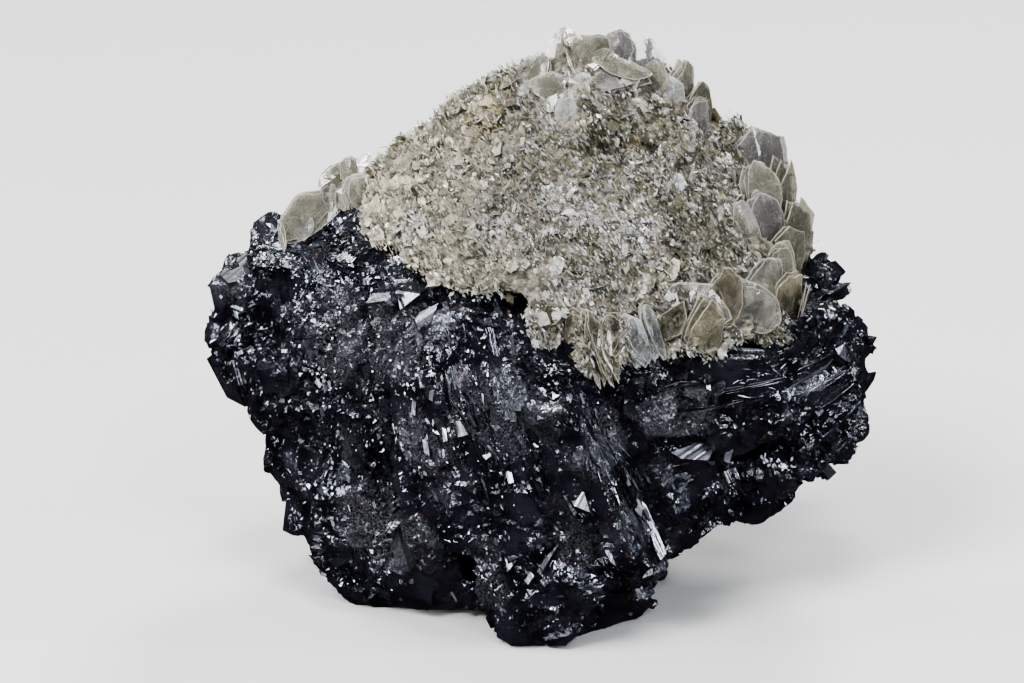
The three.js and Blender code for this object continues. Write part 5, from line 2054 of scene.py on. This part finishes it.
# the blades of the crown
CROWN = (
    Book((1.6, 3, 44), (-0.25, -0.75, 0.6), (4.6, 3.2), (0.25, 0.4, 0.9), 4, 0.2, Cast.BONE),
    Book((3.6, 2.2, 43.8), (0.35, -0.6, 0.72), (4.6, 3.4), (0.7, 0.3, 0.6), 4, 0.24, Cast.MOSS),
    Book((5.8, 3.2, 44), (0.1, -0.8, 0.6), (3.7, 2.8), (0.1, 0.5, 0.85), 4, 0.2, Cast.HAZE),
    Book((8.2, 3.6, 43), (0.4, -0.72, 0.55), (4, 3.5), (0, 0.5, 0.85), 5, 0.24, Cast.HAZE),
    Book((6.2, 1, 42.8), (0.45, -0.55, 0.7), (5.3, 1.8), (0.75, 0.1, -0.55), 4, 0.2, Cast.MOSS),
    Book((8.6, 1.6, 42), (-0.5, -0.75, 0.45), (4.1, 1.9), (0.35, 0.1, 0.9), 4, 0.2, Cast.BONE),
    Book((10.4, 1.6, 41), (0.25, -0.85, 0.45), (3.7, 1.9), (-0.3, 0.3, 0.9), 4, 0.2, Cast.WHITE),
    Book((11.4, 3, 40.8), (0.7, -0.6, 0.4), (4.9, 3.2), (-0.3, 0.3, 0.9), 4, 0.24, Cast.BONE),
    Book((13, 3.6, 39.6), (0.75, -0.6, 0.3), (5, 3.2), (-0.35, 0.2, 0.9), 4, 0.24, Cast.MOSS),
    Book((12.4, 1.6, 38.8), (0.55, -0.75, 0.35), (4, 2.2), (-0.3, 0.3, 0.9), 4, 0.2, Cast.HAZE),
    Book((-0.6, 1.8, 42.8), (-0.4, -0.6, 0.68), (4.4, 2.1), (0.8, 0, 0.5), 4, 0.2, Cast.MOSS),
    Book((0.6, 0.2, 41.9), (0, -0.75, 0.66), (2.6, 3.5), (0.2, 0.6, 0.75), 4, 0.2, Cast.BONE),
    Book((2, -1.6, 40.4), (0.05, -0.92, 0.4), (3.1, 2.5), (0.15, 0.4, 0.9), 3, 0.1, Cast.WHITE),
    Book((5, 0, 42.2), (0.1, -0.7, 0.7), (3.5, 1.5), (0.8, 0.2, -0.5), 4, 0.16, Cast.HAZE),
    Book((4.4, 1.4, 43.2), (0, -0.6, 0.8), (3.7, 1.5), (0.85, 0.1, 0.5), 4, 0.2, Cast.MOSS),
)
# the books at the left end
LEFT_BOOKS = (
    Book((-18.5, 0.1, 31.6), (0.15, -0.94, 0.24), (6.4, 2.7), (0.74, 0.1, 0.66), 4, 0.14, Cast.BONE, 0.05),
    Book((-19.2, 0, 30.4), (-0.3, -0.85, 0.4), (3, 2), (0.7, -0.1, 0.7), 3, 0.14, Cast.HAZE),
    Book((-16.6, 2.2, 34), (0.25, -0.75, 0.6), (3.6, 2), (0.7, 0.3, 0.6), 4, 0.2, Cast.MOSS),
    Book((-15.1, 2.6, 34.4), (0.35, -0.85, 0.4), (2.6, 1.6), (0.05, 0.3, 0.9), 4, 0.2, Cast.BONE),
    Book((-14.1, 3, 35.3), (-0.2, -0.8, 0.55), (1.5, 1.1), (0.6, 0.2, 0.7), 3, 0.1, Cast.WHITE),
    Book((-14.2, 1.4, 33), (0.1, -0.9, 0.4), (4.4, 3), (0.35, 0.2, 0.9), 4, 0.2, Cast.BONE),
    Book((-16.9, 0.6, 33), (0.5, -0.8, 0.3), (1.9, 1), (0.1, 0.2, 0.97), 4, 0.14, Cast.HAZE),
    Book((-15.9, 0.6, 32.6), (-0.4, -0.85, 0.3), (2.2, 0.6), (0.6, 0.1, -0.7), 3, 0.1, Cast.BONE),
    Book((-16.4, 0.4, 32.9), (0.4, -0.85, 0.3), (2.4, 0.5), (0.2, 0.1, 0.97), 3, 0.1, Cast.BONE),
    Book((-20.5, -1.2, 30), (-0.8, -0.55, 0.2), (2.4, 0.7), (-0.6, 0, 0.78), 2, 0.05, Cast.BONE),
)
# parts of the crust whose flakes are paler, darker, larger or rusty, and the gaps in it
WHITE_PARTS = patches(
    (1.4, 0.1, 41.7, 1.8, 0.8), (1.6, -1.4, 40.4, 1.6), (1.4, -7, 34.8, 2.2), (6.7, -8.6, 32.8, 2.8),
    (3.4, -7.6, 33.2, 2, 0.8), (-4, -8, 33, 2.2, 0.7), (-9.8, -5.6, 32, 2, 0.6),
    (2, -12.6, 28.8, 2.4, 0.6),
)
DARK_PARTS = patches(
    (4.6, -3.6, 38, 3.4, 0.8), (8.6, -1.6, 38, 3.2, 0.8), (11.4, -5.4, 33, 3.2, 0.8),
    (-2.2, -5.4, 36.4, 2.4, 0.6), (13.4, -6.4, 30.6, 2.6, 0.7),
)
LARGE_PARTS = patches(
    (5, 1.6, 42.6, 7), (12, 2.6, 39, 4), (-4, 1, 40.6, 3.5, 0.6), (10, -10.6, 28.6, 4, 0.6),
    (-12, -1.6, 34.4, 3.6, 0.6),
)
RUSTY_PARTS = patches(
    (-4.4, -0.6, 39.6, 2.3, 0.6), (-1.4, -4.8, 37.6, 1.2, 0.4), (7.4, -2.6, 38, 0.8, 0.6),
)
NOTCH = patches((-1.6, -11.4, 29, 2), (2.1, 0.4, 45.9, 1.6))
# the flakes: their casts in shares, the way that the slanting ones hold, and the kinds of each side
MIXED = ((Cast.SILVER, 0.45), (Cast.CREAM, 0.25), (Cast.OLIVE, 0.3))
GREY = ((Cast.SILVER, 0.5), (Cast.WHITE, 0.1), (Cast.SMOKE, 0.2), (Cast.OLIVE, 0.2))
SLANT = (0.55, -0.1, -0.8)
FINES = (
    Flakes(30000, (0.1, 0.34), 1.0, 4, GREY, grain=SLANT, narrow=(0.16, 0.45), lift=(-0.1, 0.5)),
    Flakes(9000, (0.06, 0.18), 0.9, 4, ((Cast.WHITE, 1.0),), WHITE_PARTS, 0.1, lift=(0.0, 0.6)),
)
FACE_FLAKES = (
    Flakes(13000, (0.14, 0.5), 0.95, 4, GREY, grain=SLANT, narrow=(0.2, 0.6), lift=(-0.2, 0.3)),
    Flakes(13000, (0.12, 0.36), 0.8, 4, MIXED, narrow=(0.4, 1.0), lift=(-0.2, 0.35)),
    Flakes(4200, (0.25, 0.75), 0.7, 5, MIXED, lift=(-0.2, 0.2)),
    Flakes(3000, (0.4, 1.2), 0.45, 6, MIXED, LARGE_PARTS, 0.06, lift=(-0.2, 0.1)),
)
REAR_FLAKES = (
    Flakes(8000, (0.3, 1.2), 0.4, 6, MIXED, lift=(-0.2, 0.15)),
    Flakes(13000, (0.16, 0.5), 0.85, 4, MIXED, lift=(-0.2, 0.4)),
)


@dataclass
class MicaCrust:
    """The crust over the top: its packed bed, its flakes and its large books."""

    sheets: bpy.types.Material  # the finish of its cloudy books
    facet: float = 0.45  # the size of the bed's facets
    rear_from: float = 5.0  # the y where the face ends
    bundle: float = 0.9  # the size of a bundle of flakes that lie almost parallel
    hollow: float = 0.7  # the size of the bed's hollows
    open_air: Pair = (0.5, 0.35)  # flakes grow where a point that far out is this far from the black mass
    covered: float = 0.42  # how much of a book's face stays free of flakes
    in_front: Pair = (-1.2, 2.0)  # how far behind and ahead of a book that holds
    creamy: float = 0.8  # how creamy the flakes get towards the left
    stained: float = 0.6  # the share of the flakes that a dark or a rusty part colours
    whitened: float = 0.85  # how white a white part makes them
    tones: Pair = (0.22, 0.2)  # how much one bundle is brighter than the next, and one flake

    def __post_init__(self) -> None:
        """Reads the crust's surface and the black one under it, and seats the books on it."""
        self.skin = Skin.of_node("mica_crust")
        self.cloudy = tuple(book.seated(self.skin, 0.3, 0.3) for book in RIGHT_BOOKS + CROWN)
        self.clear = tuple(book.seated(self.skin, 0.25, 0.3) for book in ROSETTES)
        self.clear += tuple(book.seated(self.skin, 0.3, 0.12) for book in FANS)
        self.black = Skin.of_node("cassiterite_mass")
        self.drift = Ripple(np.random.default_rng(Seed.DRIFT), 7.0)
        self.finish = MicaFlake().made()

    def bed(self) -> bpy.types.Object:
        """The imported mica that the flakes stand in.

        Returns:
            The piece.
        """
        points, normals, faces = remeshed(self.skin, self.facet)
        rough = Ripple(np.random.default_rng(Seed.BED), 1.8, 3)(points)
        out = 0.5 + 0.5 * cell_random(points, self.hollow, Seed.BED_GRAINS)[:, 0]
        points = points + normals * (rough * 0.16 - out * 0.2 - 0.1)[:, None]
        return shown(mesh_of("mica_bed", points, faces, {}), MicaBed().made())

    def _open(self, at: Array, normal: Array) -> Array:
        """Which points of the crust's surface meet the air, and not the black mass."""
        out, far = self.open_air
        return self.black.distance(at + normal * out, 1.0) > far

    def _off_books(self, at: Array) -> Array:
        """Which points don't lie in front of a large book's face.

        Args:
            at: The points.

        Returns:
            True for each of those.
        """
        free = np.ones(len(at), bool)
        behind, before = self.in_front
        for book in self.cloudy + self.clear:
            faces, up, side = book.ways
            away = at - placed(book.at)
            ahead = away @ faces
            long, wide = book.size
            beside = np.hypot(away @ up / long, away @ side / wide)
            free &= ~((beside < self.covered) & (ahead > behind) & (ahead < before))
        return free

    def _hue(self, at: Array, kind: Flakes, rng: np.random.Generator) -> Array:
        """The colour of each flake: its own cast, drifting over the crust.

        Args:
            at: Where the flakes are.
            kind: Their kind.
            rng: Where their differences come from.

        Returns:
            The colours.
        """
        casts = np.array([cast.value for cast, _ in kind.casts])
        shares = np.cumsum([share for _, share in kind.casts])
        hue = casts[np.searchsorted(shares, rng.random(len(at)) * shares[-1])]
        cream = smooth_step(-at[:, 0] - 3 * self.drift(at), 1.0, 8.0) * self.creamy
        parts = (
            (cream, Cast.CREAM),
            (most(DARK_PARTS, at) * (rng.random(len(at)) < self.stained), Cast.OLIVE),
            (most(WHITE_PARTS, at) * self.whitened, Cast.WHITE),
            (most(RUSTY_PARTS, at) * (rng.random(len(at)) < self.stained), Cast.RUSTY),
        )
        for share, cast in parts:
            hue = hue + (np.array(cast.value) - hue) * share[:, None]
        shared, own = self.tones
        together = cell_random(at, self.bundle, Seed.FLAKE_TONES)[:, :1] * shared
        return np.clip(hue * np.exp(together + rng.normal(size=(len(at), 1)) * own), 0, BRIGHTEST)

    def _chance(self, kind: Flakes, side: Side, at: Array) -> Array:
        """The chance that a flake lies at each place.

        Args:
            kind: The flakes' kind.
            side: The side that they cover.
            at: The places.

        Returns:
            The chances.
        """
        wanted = (at[:, 1] >= self.rear_from) == (side is Side.REAR)
        share = most(kind.patches, at) if kind.patches else 1.0
        share = share + kind.elsewhere * (1 - share)
        return share * wanted * (1 - most(NOTCH, at))

    def flakes(self, name: str, kinds: tuple[Flakes, ...], seed: Seed, side: Side) -> bpy.types.Object:
        """The flakes of one side of the crust.

        Args:
            name: The piece's name.
            kinds: The kinds of flakes on it.
            seed: Where the flakes come from.
            side: The side.

        Returns:
            The piece.
        """
        rng = np.random.default_rng(seed)
        heap = Heap()
        for kind in kinds:
            at, normal = self.skin.scatter(rng, kind.tries, lambda at, _: self._chance(kind, side, at))
            clear = self._open(at, normal) & self._off_books(at)
            self._lay(heap, kind, at[clear], normal[clear], rng)
        return heap.built(name, self.finish)

    def _lay(self, heap: Heap, kind: Flakes, at: Array, normal: Array, rng: np.random.Generator) -> None:
        """Lays one kind of flakes and adds them to a heap.

        Args:
            heap: Where they go.
            kind: The kind.
            at: The points where they lie.
            normal: The surface's normals there.
            rng: Where their differences come from.
        """
        count, sides = len(at), kind.sides
        bundled = unit(cell_random(at, self.bundle, Seed.FLAKE_BUNDLES))
        hold = bundled + rng.normal(size=(count, 3)) * kind.unrest
        if kind.grain is not None:
            grain = unit(np.array(kind.grain))
            hold = square_to(np.tile(grain, (count, 1)), hold) + hold * kind.astray
        faces = unit(unit(hold) * kind.stand + normal * (1 - kind.stand))
        way = rng.normal(size=(count, 3)) if kind.grain is None else np.tile(grain, (count, 1))
        edge = square_to(faces, way + rng.normal(size=(count, 3)) * kind.askew)
        across = np.cross(faces, edge)
        low, high = kind.radius
        radius = low + (high - low) * rng.random(count) ** kind.smallness
        centre = at + normal * (rng.uniform(*kind.lift, count) * radius / high * 1.6)[:, None]
        angles = np.arange(sides) * 2 * math.pi / sides
        angles = angles + rng.uniform(-kind.askew, kind.askew, (count, sides))
        reach = radius[:, None] * rng.uniform(*kind.reach, (count, sides))
        narrow = rng.uniform(*kind.narrow, count)[:, None]
        x, y = reach * np.cos(angles), reach * np.sin(angles) * narrow
        warp = rng.normal(size=(count, sides)) * kind.warp * radius[:, None]
        rim = centre[:, None] + edge[:, None] * x[..., None] + across[:, None] * y[..., None]
        rim = rim + faces[:, None] * warp[..., None]
        thick = faces[:, None] * rng.uniform(*kind.thickness, count)[:, None, None] / 2
        points = np.concatenate([rim, centre[:, None] + thick, centre[:, None] - thick], 1)
        triangles = []
        for i in range(sides):
            j = (i + 1) % sides
            triangles += [(i, j, sides), (j, i, sides + 1)]
        heap.add(points, np.array(triangles), hue=self._hue(at, kind, rng))

    def build(self) -> None:
        """Builds every piece of the crust and fastens it to the frame."""
        bed = self.bed()
        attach(bed, "root")
        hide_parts("mica_crust")
        report(bed)
        for piece in (
            self.flakes("mica_flakes_face", FACE_FLAKES, Seed.FLAKES_FACE, Side.FACE),
            self.flakes("mica_fines_face", FINES, Seed.FINES, Side.FACE),
            self.flakes("mica_flakes_rear", REAR_FLAKES, Seed.FLAKES_REAR, Side.REAR),
            bound("mica_rim_books", self.clear, MicaSheet().made(), Seed.LARGE_BOOKS),
            bound("mica_cloudy_books", self.cloudy, self.sheets, Seed.LARGE_BOOKS),
        ):
            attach(piece, "root")
            report(piece)


@dataclass
class LeftBooks:
    """The patch of mica books at the left end."""

    sheets: bpy.types.Material

    def build(self) -> None:
        """Builds the books and fastens them to the frame."""
        piece = bound("mica_left_books", LEFT_BOOKS, self.sheets, Seed.LEFT_BOOKS)
        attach(piece, "root")
        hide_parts("mica_books_left")
        report(piece)


# --- The specimen --------------------------------------------------------------------------------


def report(piece: bpy.types.Object) -> None:
    """Says what was built."""
    log.info("%s: %d triangles", piece.name, len(piece.data.polygons))


def main() -> None:
    """Builds the studio, then the black mass and the mica that grew on it."""
    logging.basicConfig(level=logging.INFO, format="%(name)s: %(message)s")
    studio = Studio()
    cloudy = MicaSheet("mica_cloudy_sheet", wash=0.2, milk=0.24, veils=0.2).made()
    for part in (studio, BlackMass(studio), MicaCrust(cloudy), LeftBooks(cloudy)):
        part.build()


if __name__ == "__main__":
    main()
